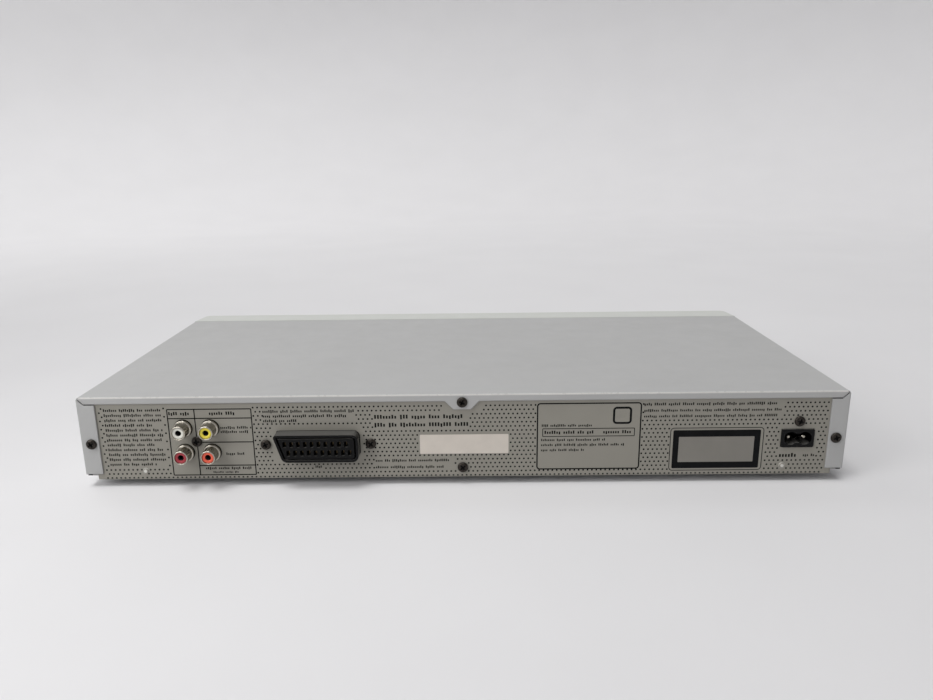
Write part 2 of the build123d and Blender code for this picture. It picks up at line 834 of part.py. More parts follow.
# Front panel: a moulded shell, open at the rear, that closes the front of the case
tab_side = 14.0
floor_tabs = [65.0 - half_width, x_loader + 60.0, half_width - 65.0]
with BuildPart() as front_panel:
    with BuildSketch(Plane.XY.offset(z_base)) as fascia_plan:
        with BuildLine():
            Polyline(
                (-half_width, y_seam),
                (-half_width + fascia_taper, y_front),
                (half_width - fascia_taper, y_front),
                (half_width, y_seam),
                close=True,
            )
        make_face()
        fillet(fascia_plan.vertices().group_by(Axis.Y)[0], radius=fascia_corner)
    extrude(amount=case_height)
    front_rim = front_panel.edges().filter_by_position(Axis.Y, y_front - 0.01, y_front + 0.01)
    fillet(front_rim.filter_by(Axis.X), radius=fascia_edge)
    offset(amount=-fascia_wall, openings=front_panel.faces().sort_by(Axis.Y)[-1])
    with BuildSketch(upright(y_front)):
        with Locations((x_loader, z_door)):
            Rectangle(2 * (door_half + door_gap), door_height + 2 * door_gap)
        with Locations((x_window, z_window)):
            RectangleRounded(window_width - 2 * window_border, window_height - 2 * window_border, 1.5)
        for x, width in key_row.values():
            with Locations((x, z_keys)):
                RectangleRounded(width + 2 * sliding_gap, key_height + 2 * sliding_gap, 1.2)
        with Locations((x_power, z_power)):
            Circle(power_key_radius + running_gap)
    extrude(amount=-fascia_wall, mode=Mode.SUBTRACT)
    with BuildSketch(upright(y_front)):
        with Locations((x_window, z_window)):
            RectangleRounded(window_width + 2 * snug_gap, window_height + 2 * snug_gap, window_corner)
    extrude(amount=-window_sheet, mode=Mode.SUBTRACT)
    lip_half = half_width - cover_sheet - panel_top_gap
    z_lip_top = z_ceiling - panel_top_gap
    with BuildSketch(upright(y_seam + lip_reach)) as lip_profile:
        with Locations((0, (z_skirt + z_lip_top) / 2)):
            Rectangle(2 * lip_half, z_lip_top - z_skirt)
        chamfer(lip_profile.vertices().group_by(Axis.Z)[-1], length=cover_bend / 2)
        with Locations((0, (z_skirt + z_lip_top) / 2 - lip_thick / 2)):
            Rectangle(2 * (lip_half - lip_thick), z_lip_top - z_skirt - lip_thick, mode=Mode.SUBTRACT)
    extrude(amount=2 * lip_reach)
    with BuildSketch(Plane.XY.offset(z_floor)):
        with Locations(*[(x, y_seam) for x in floor_tabs]):
            Rectangle(tab_side, tab_side)
    extrude(amount=2)
    with BuildSketch(upright(y_front_board)):
        with Locations(*board_boss_spots):
            Circle(standoff_radius)
    extrude(amount=y_front_board - y_behind + 0.5)
front_panel.part.label = "front_panel"
export_step(front_panel.part, "parts/front_panel.step")

with BuildPart() as display_window:
    with BuildSketch(upright(y_front)):
        with Locations((x_window, z_window)):
            RectangleRounded(window_width, window_height, window_corner)
    extrude(amount=-window_sheet)
display_window.part.label = "display_window"
export_step(display_window.part, "parts/display_window.step")

# Tray door: the front of the tray, flush with the front panel when shut
with BuildPart() as tray_door:
    with BuildSketch(upright(y_front)):
        with Locations((x_loader, z_door)):
            RectangleRounded(2 * door_half, door_height, 1.5)
    extrude(amount=-door_sheet)
    door_front = tray_door.faces().sort_by(Axis.Y)[0].edges()
    chamfer(door_front, length=0.5)
tray_door.part.label = "tray_door"
export_step(tray_door.part, "parts/tray_door.step")

# Keys: a cap in the front panel, a flange behind it and a stem to its switch
switch_side = 6.0
switch_height = 3.5
plunger_radius = 1.7
plunger_height = 1.0
switch_rest_gap = 0.1
y_plunger = y_front_board - switch_height - plunger_height
y_stem_end = y_plunger - key_travel - switch_rest_gap
y_key = y_front - key_proud
for key_name, (x, width) in key_row.items():
    with BuildPart() as key:
        with BuildSketch(upright(y_key)):
            with Locations((x, z_keys)):
                RectangleRounded(width, key_height, 1.0)
        extrude(amount=-(y_behind + switch_rest_gap - y_key))
        chamfer(key.faces().sort_by(Axis.Y)[0].edges(), length=0.4)
        with BuildSketch(upright(y_behind + switch_rest_gap)):
            with Locations((x, z_keys)):
                Rectangle(width + 2, key_height + 2)
        extrude(amount=-key_flange)
        with BuildSketch(upright(y_stem_end)):
            with Locations((x, z_keys)):
                Circle(key_stem)
        extrude(amount=y_stem_end - y_behind - key_flange)
    key.part.label = key_name
    export_step(key.part, f"parts/{key_name}.step")

with BuildPart() as power_key:
    with BuildSketch(upright(y_key)):
        with Locations((x_power, z_power)):
            Circle(power_key_radius)
    extrude(amount=-(y_behind + switch_rest_gap - y_key))
    fillet(power_key.faces().sort_by(Axis.Y)[0].edges(), radius=0.5)
    with BuildSketch(upright(y_behind + switch_rest_gap)):
        with Locations((x_power, z_power)):
            Circle(power_key_radius + 1)
    extrude(amount=-key_flange)
    with BuildSketch(upright(y_stem_end)):
        with Locations((x_power, z_power)):
            Circle(key_stem)
    extrude(amount=y_stem_end - y_behind - key_flange)
power_key.part.label = "power_key"
export_step(power_key.part, "parts/power_key.step")

# Front boards, their switches and the display
key_spots = [(x, z_keys) for x, width in key_row.values()] + [(x_power, z_power)]
z_front_middle = z_front_board + front_board_height / 2
with BuildPart() as front_boards:
    with BuildSketch(upright(y_front_board)):
        with Locations(((front_board_left + front_board_right) / 2, z_front_middle)):
            Rectangle(front_board_right - front_board_left, front_board_height)
        with Locations((x_power, z_front_middle)):
            Rectangle(small_board_right - small_board_left, front_board_height)
        with Locations(*board_boss_spots):
            Circle(screw_radius, mode=Mode.SUBTRACT)
    extrude(amount=-board_sheet)
front_boards.part.label = "front_boards"
export_step(front_boards.part, "parts/front_boards.step")

with BuildPart() as key_switches:
    with BuildSketch(upright(y_front_board)):
        with Locations(*key_spots):
            Rectangle(switch_side, switch_side)
    extrude(amount=switch_height)
    with BuildSketch(upright(y_front_board - switch_height)):
        with Locations(*key_spots):
            Circle(plunger_radius)
    extrude(amount=plunger_height)
key_switches.part.label = "key_switches"
export_step(key_switches.part, "parts/key_switches.step")

with BuildPart() as display_module:
    with BuildSketch(upright(y_front_board)):
        with Locations((x_window, z_window)):
            Rectangle(window_width - 4, window_height)
    extrude(amount=y_front_board - y_behind - 1.5)
    chamfer(display_module.faces().sort_by(Axis.Y)[0].edges(), length=0.6)
display_module.part.label = "display_module"
export_step(display_module.part, "parts/display_module.step")

# Loader frame: side rails for the tray, a rear floor with a window, and a front shelf for the gears
y_shelf_end = y_cam - cam_wall / 2 - 1.5
x_wall = frame_half - rail_wall / 2
x_ledge = frame_half - (rail_wall + ledge) / 2
window_half = x_boss + 11.0
bearing_width = 11.0
with BuildPart() as loader_frame:
    with BuildSketch(Plane.XY.offset(z_frame)) as floor_plan:
        with Locations((x_loader, (y_shelf_end + y_frame_end) / 2)):
            Rectangle(2 * frame_half, y_frame_end - y_shelf_end)
        with Locations((x_loader, (y_shelf_end - 1 + y_hinge + 6) / 2)):
            Rectangle(2 * window_half, y_hinge + 6 - y_shelf_end + 1, mode=Mode.SUBTRACT)
        with Locations(*ear_spots):
            Rectangle(ear + 2, ear_width)
        with Locations(*ear_spots):
            Circle(screw_hole, mode=Mode.SUBTRACT)
    extrude(amount=frame_floor)
    with BuildSketch(Plane.XY.offset(z_frame)):
        for side in (-1, 1):
            with Locations((x_loader + side * x_wall, (y_frame + y_frame_end) / 2)):
                Rectangle(rail_wall, y_frame_end - y_frame)
    extrude(amount=z_bridge - z_frame)
    with BuildSketch(Plane.XY.offset(z_shelf - frame_floor)):
        with Locations((x_loader, (y_frame + y_shelf_end) / 2)):
            Rectangle(2 * frame_half, y_shelf_end - y_frame)
    extrude(amount=frame_floor)
    for z_ledge in (z_tray - sliding_gap - ledge_sheet, z_rim + sliding_gap):
        with BuildSketch(Plane.XY.offset(z_ledge)):
            for side in (-1, 1):
                with Locations((x_loader + side * x_ledge, (y_frame + y_frame_end) / 2)):
                    Rectangle(rail_wall + ledge, y_frame_end - y_frame)
        extrude(amount=ledge_sheet)
    with BuildSketch(Plane.XY.offset(z_frame)):
        with Locations((x_loader, y_frame_end - rail_wall / 2)):
            Rectangle(2 * frame_half, rail_wall)
    extrude(amount=z_hinge - z_frame)
    for side in (-1, 1):
        with BuildSketch(Plane.YZ.offset(x_loader + side * (lift_half + 0.6 + trunnion_length / 2))):
            with Locations((y_hinge, (z_frame + z_hinge + 4) / 2)):
                Rectangle(bearing_width, z_hinge + 4 - z_frame)
            with Locations((y_hinge, z_hinge)):
                Circle(trunnion_radius + running_gap, mode=Mode.SUBTRACT)
            with Locations((y_hinge, z_hinge + 3)):
                Rectangle(1.7 * trunnion_radius, 6, mode=Mode.SUBTRACT)
        extrude(amount=trunnion_length / 2 - 0.6, both=True)
        with BuildSketch(Plane.XY.offset(z_frame)):
            with Locations((x_loader + side * (lift_half + 0.6 + window_half + 2) / 2, y_hinge)):
                Rectangle(window_half + 2 - lift_half - 0.6, bearing_width)
        extrude(amount=frame_floor)
    with BuildSketch(Plane.XY.offset(z_shelf)):
        with Locations((x_drive, y_drive), (x_pulley, y_pulley)):
            Circle(post_radius)
    extrude(amount=z_tray - 0.6 - z_shelf)
    with BuildSketch(Plane.XY.offset(z_shelf - frame_floor)):
        with Locations((x_motor, y_pulley)):
            Circle(motor_boss + sliding_gap)
    extrude(amount=frame_floor, mode=Mode.SUBTRACT)
loader_frame.part.label = "loader_frame"
export_step(loader_frame.part, "parts/loader_frame.step")

# Clamp bridge: a sheet across the rails that carries the clamper over the disc
clamper_radius = 14.6
clamper_flange = 18.0
bridge_hole = 15.4
with BuildPart() as clamp_bridge:
    with BuildSketch(Plane.XY.offset(z_bridge)) as bridge_plan:
        with Locations((x_loader, y_disc)):
            Rectangle(2 * frame_half, 2 * bridge_half)
            Circle(bridge_hole, mode=Mode.SUBTRACT)
        bridge_corners = bridge_plan.vertices().group_by(Axis.X)
        fillet(bridge_corners[0] + bridge_corners[-1], radius=4)
    extrude(amount=bridge_sheet)
    with BuildSketch(Plane.XY.offset(z_bridge + bridge_sheet)):
        for side in (-1, 1):
            with Locations((x_loader, y_disc + side * (bridge_half - 2))):
                Rectangle(2 * frame_half - 24, 2)
    extrude(amount=1.2)
clamp_bridge.part.label = "clamp_bridge"
export_step(clamp_bridge.part, "parts/clamp_bridge.step")

# Clamper: hangs in the bridge by its flange, hollow below for the hub and above for the magnet
z_clamper = z_rim + 0.6
z_clamper_flange = z_bridge + bridge_sheet + 0.2
hub_pocket = hub_height + 0.5
flange_sheet = 2.2
with BuildPart() as clamper:
    with BuildSketch(Plane.XY.offset(z_clamper)):
        with Locations((x_loader, y_disc)):
            Circle(clamper_radius)
            Circle(hub_radius + 0.7, mode=Mode.SUBTRACT)
    extrude(amount=hub_pocket)
    with BuildSketch(Plane.XY.offset(z_clamper + hub_pocket)):
        with Locations((x_loader, y_disc)):
            Circle(clamper_radius)
    extrude(amount=z_clamper_flange - z_clamper - hub_pocket)
    with BuildSketch(Plane.XY.offset(z_clamper_flange)):
        with Locations((x_loader, y_disc)):
            Circle(clamper_flange)
            Circle(hub_radius, mode=Mode.SUBTRACT)
    extrude(amount=flange_sheet)
clamper.part.label = "clamper"
export_step(clamper.part, "parts/clamper.step")

with BuildPart() as clamper_magnet:
    with BuildSketch(Plane.XY.offset(z_clamper_flange)):
        with Locations((x_loader, y_disc)):
            Circle(hub_radius - snug_gap)
            Circle(2.5, mode=Mode.SUBTRACT)
    extrude(amount=flange_sheet - 0.3)
clamper_magnet.part.label = "clamper_magnet"
export_step(clamper_magnet.part, "parts/clamper_magnet.step")

# Disc tray: two disc recesses, a window for the turntable and pickup, a rack and a lock groove below
rack_teeth = 47
rack_bar = 4.0
rib_inset = 4.9
small_recess = 0.8
y_rack_middle = y_drive + pi * rack_module * (rack_teeth - 4) / 2
y_boss = y_cam - cam_wall / 2 - 2.2
groove_half = boss_radius + 0.5
with BuildPart() as disc_tray:
    with BuildSketch(Plane.XY.offset(z_tray)) as tray_plan:
        with Locations((x_loader, (y_tray + y_tray_end) / 2)):
            Rectangle(2 * tray_half, tray_length)
    extrude(amount=z_rim - z_tray)
    with BuildSketch(Plane.XY.offset(z_rim)):
        with Locations((x_loader, y_disc)):
            Circle(disc_radius + disc_play)
    extrude(amount=-rim_height, mode=Mode.SUBTRACT)
    with BuildSketch(Plane.XY.offset(z_seat)):
        with Locations((x_loader, y_disc)):
            Circle(small_disc_radius + disc_play)
    extrude(amount=-small_recess, mode=Mode.SUBTRACT)
    with BuildSketch(Plane.XY.offset(z_tray)) as tray_window:
        with Locations((x_loader, y_disc)):
            Circle(spindle_window)
        with Locations((x_loader, y_disc + disc_radius / 2)):
            Rectangle(2 * spindle_window, disc_radius)
        with Locations((x_loader, (y_disc + disc_radius + 8 + y_tray_end) / 2)):
            Rectangle(2 * tail_half, y_tray_end - y_disc - disc_radius - 8)
    extrude(amount=rim_height + tray_plate, mode=Mode.SUBTRACT)
    x_groove = x_loader + x_boss
    wall_offset = groove_half + rib / 2
    with BuildSketch(Plane.XY.offset(z_tray)):
        for side in (-1, 1):
            with Locations((x_loader + side * (tray_half - rib_inset), (y_tray + y_tray_end) / 2)):
                Rectangle(rib, tray_length - 8)
            y_rib = y_boss - side * (groove_half + rib)
            with Locations((x_groove + side * wall_offset, (y_rib + y_tray_end - 3) / 2)):
                Rectangle(rib, y_tray_end - 3 - y_rib)
        with Locations((x_groove - cam_travel / 2, y_boss - wall_offset)):
            Rectangle(cam_travel + 2 * groove_half, rib)
        with Locations((x_groove - cam_travel / 2 - wall_offset, y_boss + wall_offset)):
            Rectangle(cam_travel + rib, rib)
    extrude(amount=-rib_depth)
    with BuildSketch(Plane(origin=(x_rack, y_rack_middle, z_tray), x_dir=(0, -1, 0), z_dir=(0, 0, 1))):
        with BuildLine():
            Polyline(*rack_points(rack_module, rack_teeth, rack_bar), close=True)
        make_face()
    extrude(amount=-(z_tray - z_tier_c - 0.3))
disc_tray.part.label = "disc_tray"
export_step(disc_tray.part, "parts/disc_tray.step")

# Loading motor under the shelf, its pulley, the belt and the pulley gear
with BuildPart() as loading_motor:
    with BuildSketch(Plane.XY.offset(z_shelf - frame_floor)):
        with Locations((x_motor, y_pulley)):
            Circle(loading_motor_radius)
    extrude(amount=-loading_motor_height)
    fillet(loading_motor.faces().sort_by(Axis.Z)[0].edges(), radius=1.0)
    with BuildSketch(Plane.XY.offset(z_shelf - frame_floor)):
        with Locations((x_motor, y_pulley)):
            Circle(motor_boss)
    extrude(amount=frame_floor)
    with BuildSketch(Plane.XY.offset(z_shelf)):
        with Locations((x_motor, y_pulley)):
            Circle(shaft_radius)
    extrude(amount=z_tier_b - z_shelf - 0.5)
loading_motor.part.label = "loading_motor"
export_step(loading_motor.part, "parts/loading_motor.step")

groove_height = belt_side + 0.4
z_belt = z_tier_a + tier / 2
with BuildPart() as motor_pulley:
    with BuildSketch(Plane.XY.offset(z_tier_a)):
        with Locations((x_motor, y_pulley)):
            Circle(motor_groove + pulley_flange)
    extrude(amount=tier)
    with BuildSketch(Plane.XY.offset(z_belt - groove_height / 2)):
        with Locations((x_motor, y_pulley)):
            Circle(motor_groove + pulley_flange)
            Circle(motor_groove, mode=Mode.SUBTRACT)
    extrude(amount=groove_height, mode=Mode.SUBTRACT)
    with BuildSketch(Plane.XY.offset(z_tier_a)):
        with Locations((x_motor, y_pulley)):
            Circle(shaft_radius + running_gap)
    extrude(amount=tier, mode=Mode.SUBTRACT)
motor_pulley.part.label = "motor_pulley"
export_step(motor_pulley.part, "parts/motor_pulley.step")

with BuildPart() as pulley_gear:
    with BuildSketch(Plane.XY.offset(z_tier_a)):
        with Locations((x_pulley, y_pulley)):
            Circle(pulley_groove + pulley_flange)
    extrude(amount=tier)
    with BuildSketch(Plane.XY.offset(z_belt - groove_height / 2)):
        with Locations((x_pulley, y_pulley)):
            Circle(pulley_groove + pulley_flange)
            Circle(pulley_groove, mode=Mode.SUBTRACT)
    extrude(amount=groove_height, mode=Mode.SUBTRACT)
    with BuildSketch(Plane(origin=(x_pulley, y_pulley, z_tier_a + tier))):
        with BuildLine():
            facing = belt_angle + pi + pi / pinion_teeth
            Polyline(*gear_points(gear_module, pinion_teeth, facing), close=True)
        make_face()
    extrude(amount=tier_gap + tier)
    with BuildSketch(Plane.XY.offset(z_tier_a)):
        with Locations((x_pulley, y_pulley)):
            Circle(post_radius + running_gap)
    extrude(amount=3 * tier, mode=Mode.SUBTRACT)
pulley_gear.part.label = "pulley_gear"
export_step(pulley_gear.part, "parts/pulley_gear.step")

# Belt: a closed loop round both grooves
belt_inner = running_gap
with BuildPart() as drive_belt:
    with BuildSketch(Plane.XY.offset(z_belt - belt_side / 2)) as belt_loop:
        small = motor_groove + belt_inner
        large = pulley_groove + belt_inner
        for sign, mode in ((belt_side, Mode.ADD), (0, Mode.SUBTRACT)):
            lean = asin((large - small) / belt_span)
            with BuildLine():
                near = (x_pulley + (large + sign) * sin(lean), y_pulley + (large + sign) * cos(lean))
                far = (x_motor + (small + sign) * sin(lean), y_pulley + (small + sign) * cos(lean))
                low_far = (far[0], 2 * y_pulley - far[1])
                low_near = (near[0], 2 * y_pulley - near[1])
                Line(near, far)
                ThreePointArc(far, (x_motor + small + sign, y_pulley), low_far)
                Line(low_far, low_near)
                ThreePointArc(low_near, (x_pulley - large - sign, y_pulley), near)
            make_face(mode=mode)
    extrude(amount=belt_side)
drive_belt.part.label = "drive_belt"
export_step(drive_belt.part, "parts/drive_belt.step")

# Drive gear: a wheel driven by the pinion, a full gear for the tray rack above it,
# and a gear with five teeth left out for the slider rack below it
with BuildPart() as drive_gear:
    with BuildSketch(Plane(origin=(x_drive, y_drive, z_tier_a))):
        with BuildLine():
            Polyline(*gear_points(rack_module, drive_teeth, radians(50), missing=range(5)), close=True)
        make_face()
    extrude(amount=tier + tier_gap)
    with BuildSketch(Plane(origin=(x_drive, y_drive, z_tier_b))):
        with BuildLine():
            Polyline(*gear_points(gear_module, wheel_teeth, belt_angle), close=True)
        make_face()
    extrude(amount=tier)
    with BuildSketch(Plane(origin=(x_drive, y_drive, z_tier_b + tier))):
        with BuildLine():
            Polyline(*gear_points(rack_module, drive_teeth, pi), close=True)
        make_face()
    extrude(amount=z_tray - 0.7 - z_tier_b - tier)
    with BuildSketch(Plane.XY.offset(z_tier_a)):
        with Locations((x_drive, y_drive)):
            Circle(post_radius + running_gap)
    extrude(amount=z_tray - z_tier_a, mode=Mode.SUBTRACT)
drive_gear.part.label = "drive_gear"
export_step(drive_gear.part, "parts/drive_gear.step")

# Cam slider: a wall with two slanted slots for the lift pins, a flange on the shelf with a short rack,
# and a boss that runs in the tray's lock groove
cam_slot_half = cam_pin_radius + cam_slot_gap
slot_dwell = 2.0
cam_left = -cam_pin_spread - 10
cam_right = cam_pin_spread + cam_travel + slot_dwell + 6
z_cam_low = z_floor + 1.5
z_cam_high = z_hinge + 4.5
z_cam_flange = z_tier_a
slider_teeth = 6
rack_start_gap = 7.5
with BuildPart() as cam_slider:
    with BuildSketch(upright(y_cam - cam_wall / 2)) as cam_face:
        with Locations((x_loader + (cam_left + cam_right) / 2, (z_cam_low + z_cam_high) / 2)):
            Rectangle(cam_right - cam_left, z_cam_high - z_cam_low)
        for side in (-1, 1):
            x_low = x_loader + side * cam_pin_spread
            with BuildLine():
                Polyline(
                    (x_low - slot_dwell, z_pin_low),
                    (x_low, z_pin_low),
                    (x_low + cam_travel, z_hinge),
                    (x_low + cam_travel + slot_dwell, z_hinge),
                )
                offset(amount=cam_slot_half, side=Side.BOTH)
            make_face(mode=Mode.SUBTRACT)
    extrude(amount=-cam_wall)
    with BuildSketch(Plane.XY.offset(z_cam_flange)):
        with Locations((x_loader + (cam_left + cam_right) / 2, y_cam - cam_wall / 2 - 2)):
            Rectangle(cam_right - cam_left, 4)
    extrude(amount=cam_flange)
    x_slider_rack = x_drive + rack_start_gap + slider_teeth * pi * rack_module / 2
    rack_plane = Plane(origin=(x_slider_rack, y_cam_rack, z_cam_flange), x_dir=(-1, 0, 0), z_dir=(0, 0, 1))
    with BuildSketch(rack_plane):
        with BuildLine():
            Polyline(*rack_points(rack_module, slider_teeth, cam_reach), close=True)
        make_face()
    extrude(amount=cam_flange)
    with BuildSketch(Plane.XY.offset(z_cam_flange)):
        with Locations((x_loader + x_boss, y_boss)):
            Circle(boss_radius)
    extrude(amount=z_tray - 0.4 - z_cam_flange)
cam_slider.part.label = "cam_slider"
export_step(cam_slider.part, "parts/cam_slider.step")

# Lift frame: a moulded ring with hinge pins at its rear and cam pins at its front
with BuildPart() as lift_frame:
    with BuildSketch(deck.offset(lift_low)) as lift_plan:
        with Locations((0, (frame_rear - lift_front) / 2)):
            Rectangle(2 * lift_half, frame_rear + lift_front)
        with Locations((0, (front_bar - lift_front - rear_bar) / 2)):
            Rectangle(2 * lift_window, lift_front - front_bar - rear_bar, mode=Mode.SUBTRACT)
    extrude(amount=lift_high - lift_low)
    for side in (-1, 1):
        pin_root = deck.from_local_coords((side * lift_half, 0, 0))
        with BuildSketch(Plane(origin=pin_root, x_dir=deck.y_dir, z_dir=(side, 0, 0))):
            Circle(trunnion_radius)
        extrude(amount=trunnion_length)
    with BuildSketch(deck_upright(-lift_front)):
        with Locations((-cam_pin_spread, 0), (cam_pin_spread, 0)):
            Circle(cam_pin_radius)
    extrude(amount=cam_pin_length)
lift_frame.part.label = "lift_frame"
export_step(lift_frame.part, "parts/lift_frame.step")

# Dampers between the lift frame and the traverse plate
damper_bore = 1.2
damper_spots = [(sx * (lift_half - 3.5), y) for sx in (-1, 1) for y in (-90.0, -16.0)]
with BuildPart() as rubber_dampers:
    with BuildSketch(deck.offset(lift_high)):
        with Locations(*damper_spots):
            Circle(damper_radius)
            Circle(damper_bore, mode=Mode.SUBTRACT)
    extrude(amount=damper_height)
rubber_dampers.part.label = "rubber_dampers"
export_step(rubber_dampers.part, "parts/rubber_dampers.step")

# Traverse plate: a sheet with rail blocks, cut out for the pickup and the feed screw
motor_spigot = 3.0
rail_window_half = 15.0
feed_window = 10.0
plate_front = -97.0
plate_end = -5.0
bearing_front = -9.5
bearing_length = 3.0
rail_block = 3.0
block_high = rail_rise + 1.8
with BuildPart() as traverse_plate:
    with BuildSketch(deck.offset(plate_low)) as plate_plan:
        with Locations((0, (plate_front + plate_end) / 2)):
            Rectangle(2 * lift_half, plate_end - plate_front)
        with Locations((0, -arm)):
            Circle(motor_spigot, mode=Mode.SUBTRACT)
        with Locations((0, (rail_front + rail_end) / 2)):
            Rectangle(2 * rail_window_half, rail_end - rail_front - 2, mode=Mode.SUBTRACT)
        with Locations((-screw_offset, (rail_front - 13 + plate_end - 4) / 2)):
            Rectangle(feed_window, plate_end - 4 - rail_front + 13, mode=Mode.SUBTRACT)
        with Locations(*damper_spots):
            Circle(damper_bore, mode=Mode.SUBTRACT)
    extrude(amount=plate_sheet)
    for y_block in (rail_front, rail_end - rail_block):
        with BuildSketch(deck_upright(y_block)):
            for side in (-1, 1):
                with Locations((side * rail_spread, (plate_high + block_high) / 2)):
                    Rectangle(2 * rail_block, block_high - plate_high)
                with Locations((side * rail_spread, rail_rise)):
                    Circle(rail_radius + snug_gap, mode=Mode.SUBTRACT)
        extrude(amount=-rail_block)
    with BuildSketch(deck_upright(bearing_front)):
        with Locations((-screw_offset, screw_rise)):
            Rectangle(6, 4.8)
    extrude(amount=-bearing_length)
    with BuildSketch(deck_upright(bearing_front)):
        with Locations((-screw_offset, screw_rise)):
            Circle(feed_screw_radius + running_gap)
    extrude(amount=-bearing_length, mode=Mode.SUBTRACT)
traverse_plate.part.label = "traverse_plate"
export_step(traverse_plate.part, "parts/traverse_plate.step")

with BuildPart() as guide_rails:
    with BuildSketch(deck_upright(rail_end)):
        with Locations((-rail_spread, rail_rise), (rail_spread, rail_rise)):
            Circle(rail_radius)
    extrude(amount=rail_end - rail_front)
guide_rails.part.label = "guide_rails"
export_step(guide_rails.part, "parts/guide_rails.step")

# Spindle motor and turntable
with BuildPart() as spindle_motor:
    with BuildSketch(deck.offset(lift_low)):
        with Locations((0, -arm)):
            Circle(motor_radius)
    extrude(amount=motor_height)
    fillet(spindle_motor.edges().filter_by(GeomType.CIRCLE).sort_by(Axis.Z)[0], radius=0.8)
    with BuildSketch(deck.offset(plate_low)):
        with Locations((0, -arm)):
            Circle(motor_spigot - snug_gap)
    extrude(amount=plate_sheet + 1.5)
    with BuildSketch(deck.offset(lift_low + 1)):
        with Locations((0, -arm)):
            Circle(shaft_radius + running_gap)
    extrude(amount=motor_height + plate_sheet + 1.5, mode=Mode.SUBTRACT)
spindle_motor.part.label = "spindle_motor"
export_step(spindle_motor.part, "parts/spindle_motor.step")

with BuildPart() as turntable:
    with BuildSketch(deck.offset(lift_low + 1.2)):
        with Locations((0, -arm)):
            Circle(shaft_radius)
    extrude(amount=turntable_height - lift_low - 1.2)
    with BuildSketch(deck.offset(plate_high + 2.0)):
        with Locations((0, -arm)):
            Circle(5.0)
    extrude(amount=turntable_height - turntable_sheet - plate_high - 2.0)
    with BuildSketch(deck.offset(turntable_height - turntable_sheet)):
        with Locations((0, -arm)):
            Circle(turntable_radius)
    extrude(amount=turntable_sheet)
    with BuildSketch(deck.offset(turntable_height)):
        with Locations((0, -arm)):
            Circle(hub_radius)
    extrude(amount=hub_height, taper=25)
turntable.part.label = "turntable"
export_step(turntable.part, "parts/turntable.step")

# Feed motor and screw
with BuildPart() as feed_motor:
    with BuildSketch(deck_upright(rail_front)):
        with Locations((-screw_offset, screw_rise)):
            Circle(feed_motor_radius)
    extrude(amount=feed_motor_length)
    with BuildSketch(deck_upright(rail_front)):
        with Locations((-screw_offset, screw_rise)):
            Circle(feed_screw_radius + running_gap)
    extrude(amount=feed_motor_length - 1, mode=Mode.SUBTRACT)
feed_motor.part.label = "feed_motor"
export_step(feed_motor.part, "parts/feed_motor.step")

with BuildPart() as feed_screw:
    with BuildSketch(deck_upright(bearing_front + bearing_length)):
        with Locations((-screw_offset, screw_rise)):
            Circle(feed_screw_radius)
    extrude(amount=bearing_front + bearing_length - rail_front + feed_motor_length - 1.5)
feed_screw.part.label = "feed_screw"
export_step(feed_screw.part, "parts/feed_screw.step")

# Pickup sled on its rails, at the innermost track
y_lens = lens_inner - arm
sled_low = plate_high + 0.3
sled_half = 17.6
shoe_width = 8.0
shoe_drop = 0.2
optics_half = 12.0
optics_depth = 4.0
lens_clearance = 0.8
lens_well = 2.5
with BuildPart() as pickup_sled:
    with BuildSketch(deck.offset(sled_low)):
        with Locations((0, y_lens)):
            Rectangle(2 * sled_half, 2 * sled_half_length)
    extrude(amount=sled_top - sled_low)
    with BuildSketch(deck.offset(sled_low)):
        with Locations((-rail_spread, y_lens), (rail_spread, y_lens)):
            Rectangle(shoe_width, 2 * sled_half_length)
    extrude(amount=sled_top - shoe_drop - sled_low)
    with BuildSketch(deck.offset(plate_low - optics_depth)):
        with Locations((0, y_lens)):
            Rectangle(2 * optics_half, 2 * (sled_half_length - 2))
    extrude(amount=sled_low - plate_low + optics_depth)
    with BuildSketch(deck.offset(screw_rise + feed_screw_radius + 0.1)):
        with Locations((-(screw_offset + rail_spread) / 2 - 1, y_lens)):
            Rectangle(screw_offset - rail_spread + 4, 6)
    extrude(amount=2)
    with BuildSketch(deck_upright(y_lens + sled_half_length)):
        with Locations((-rail_spread, rail_rise)):
            Circle(rail_radius + running_gap)
        with Locations((rail_spread + 2, rail_rise)):
            Rectangle(2 * rail_radius + 4, 2 * (rail_radius + running_gap))
    extrude(amount=2 * sled_half_length, mode=Mode.SUBTRACT)
    with BuildSketch(deck.offset(sled_top)):
        with Locations((0, y_lens)):
            Circle(lens_radius + lens_clearance)
    extrude(amount=-lens_well, mode=Mode.SUBTRACT)
pickup_sled.part.label = "pickup_sled"
export_step(pickup_sled.part, "parts/pickup_sled.step")

dome_base = 2.4
with BuildPart() as objective_lens:
    with BuildSketch(deck.offset(lens_low)):
        with Locations((0, y_lens)):
            Circle(lens_radius)
    extrude(amount=lens_height)
    with BuildSketch(deck.offset(lens_low + lens_height)):
        with Locations((0, y_lens)):
            Circle(dome_base)
    extrude(amount=0.5, taper=30)
objective_lens.part.label = "objective_lens"
export_step(objective_lens.part, "parts/objective_lens.step")

# Main board behind the rear sockets
with BuildPart() as main_board:
    with BuildSketch(Plane.XY.offset(z_board)):
        with Locations(((main_left + main_right) / 2, (main_front + y_board_end) / 2)):
            Rectangle(main_right - main_left, main_depth)
        with Locations(*main_spots):
            Circle(screw_radius, mode=Mode.SUBTRACT)
    extrude(amount=board_sheet)
main_board.part.label = "main_board"
export_step(main_board.part, "parts/main_board.step")

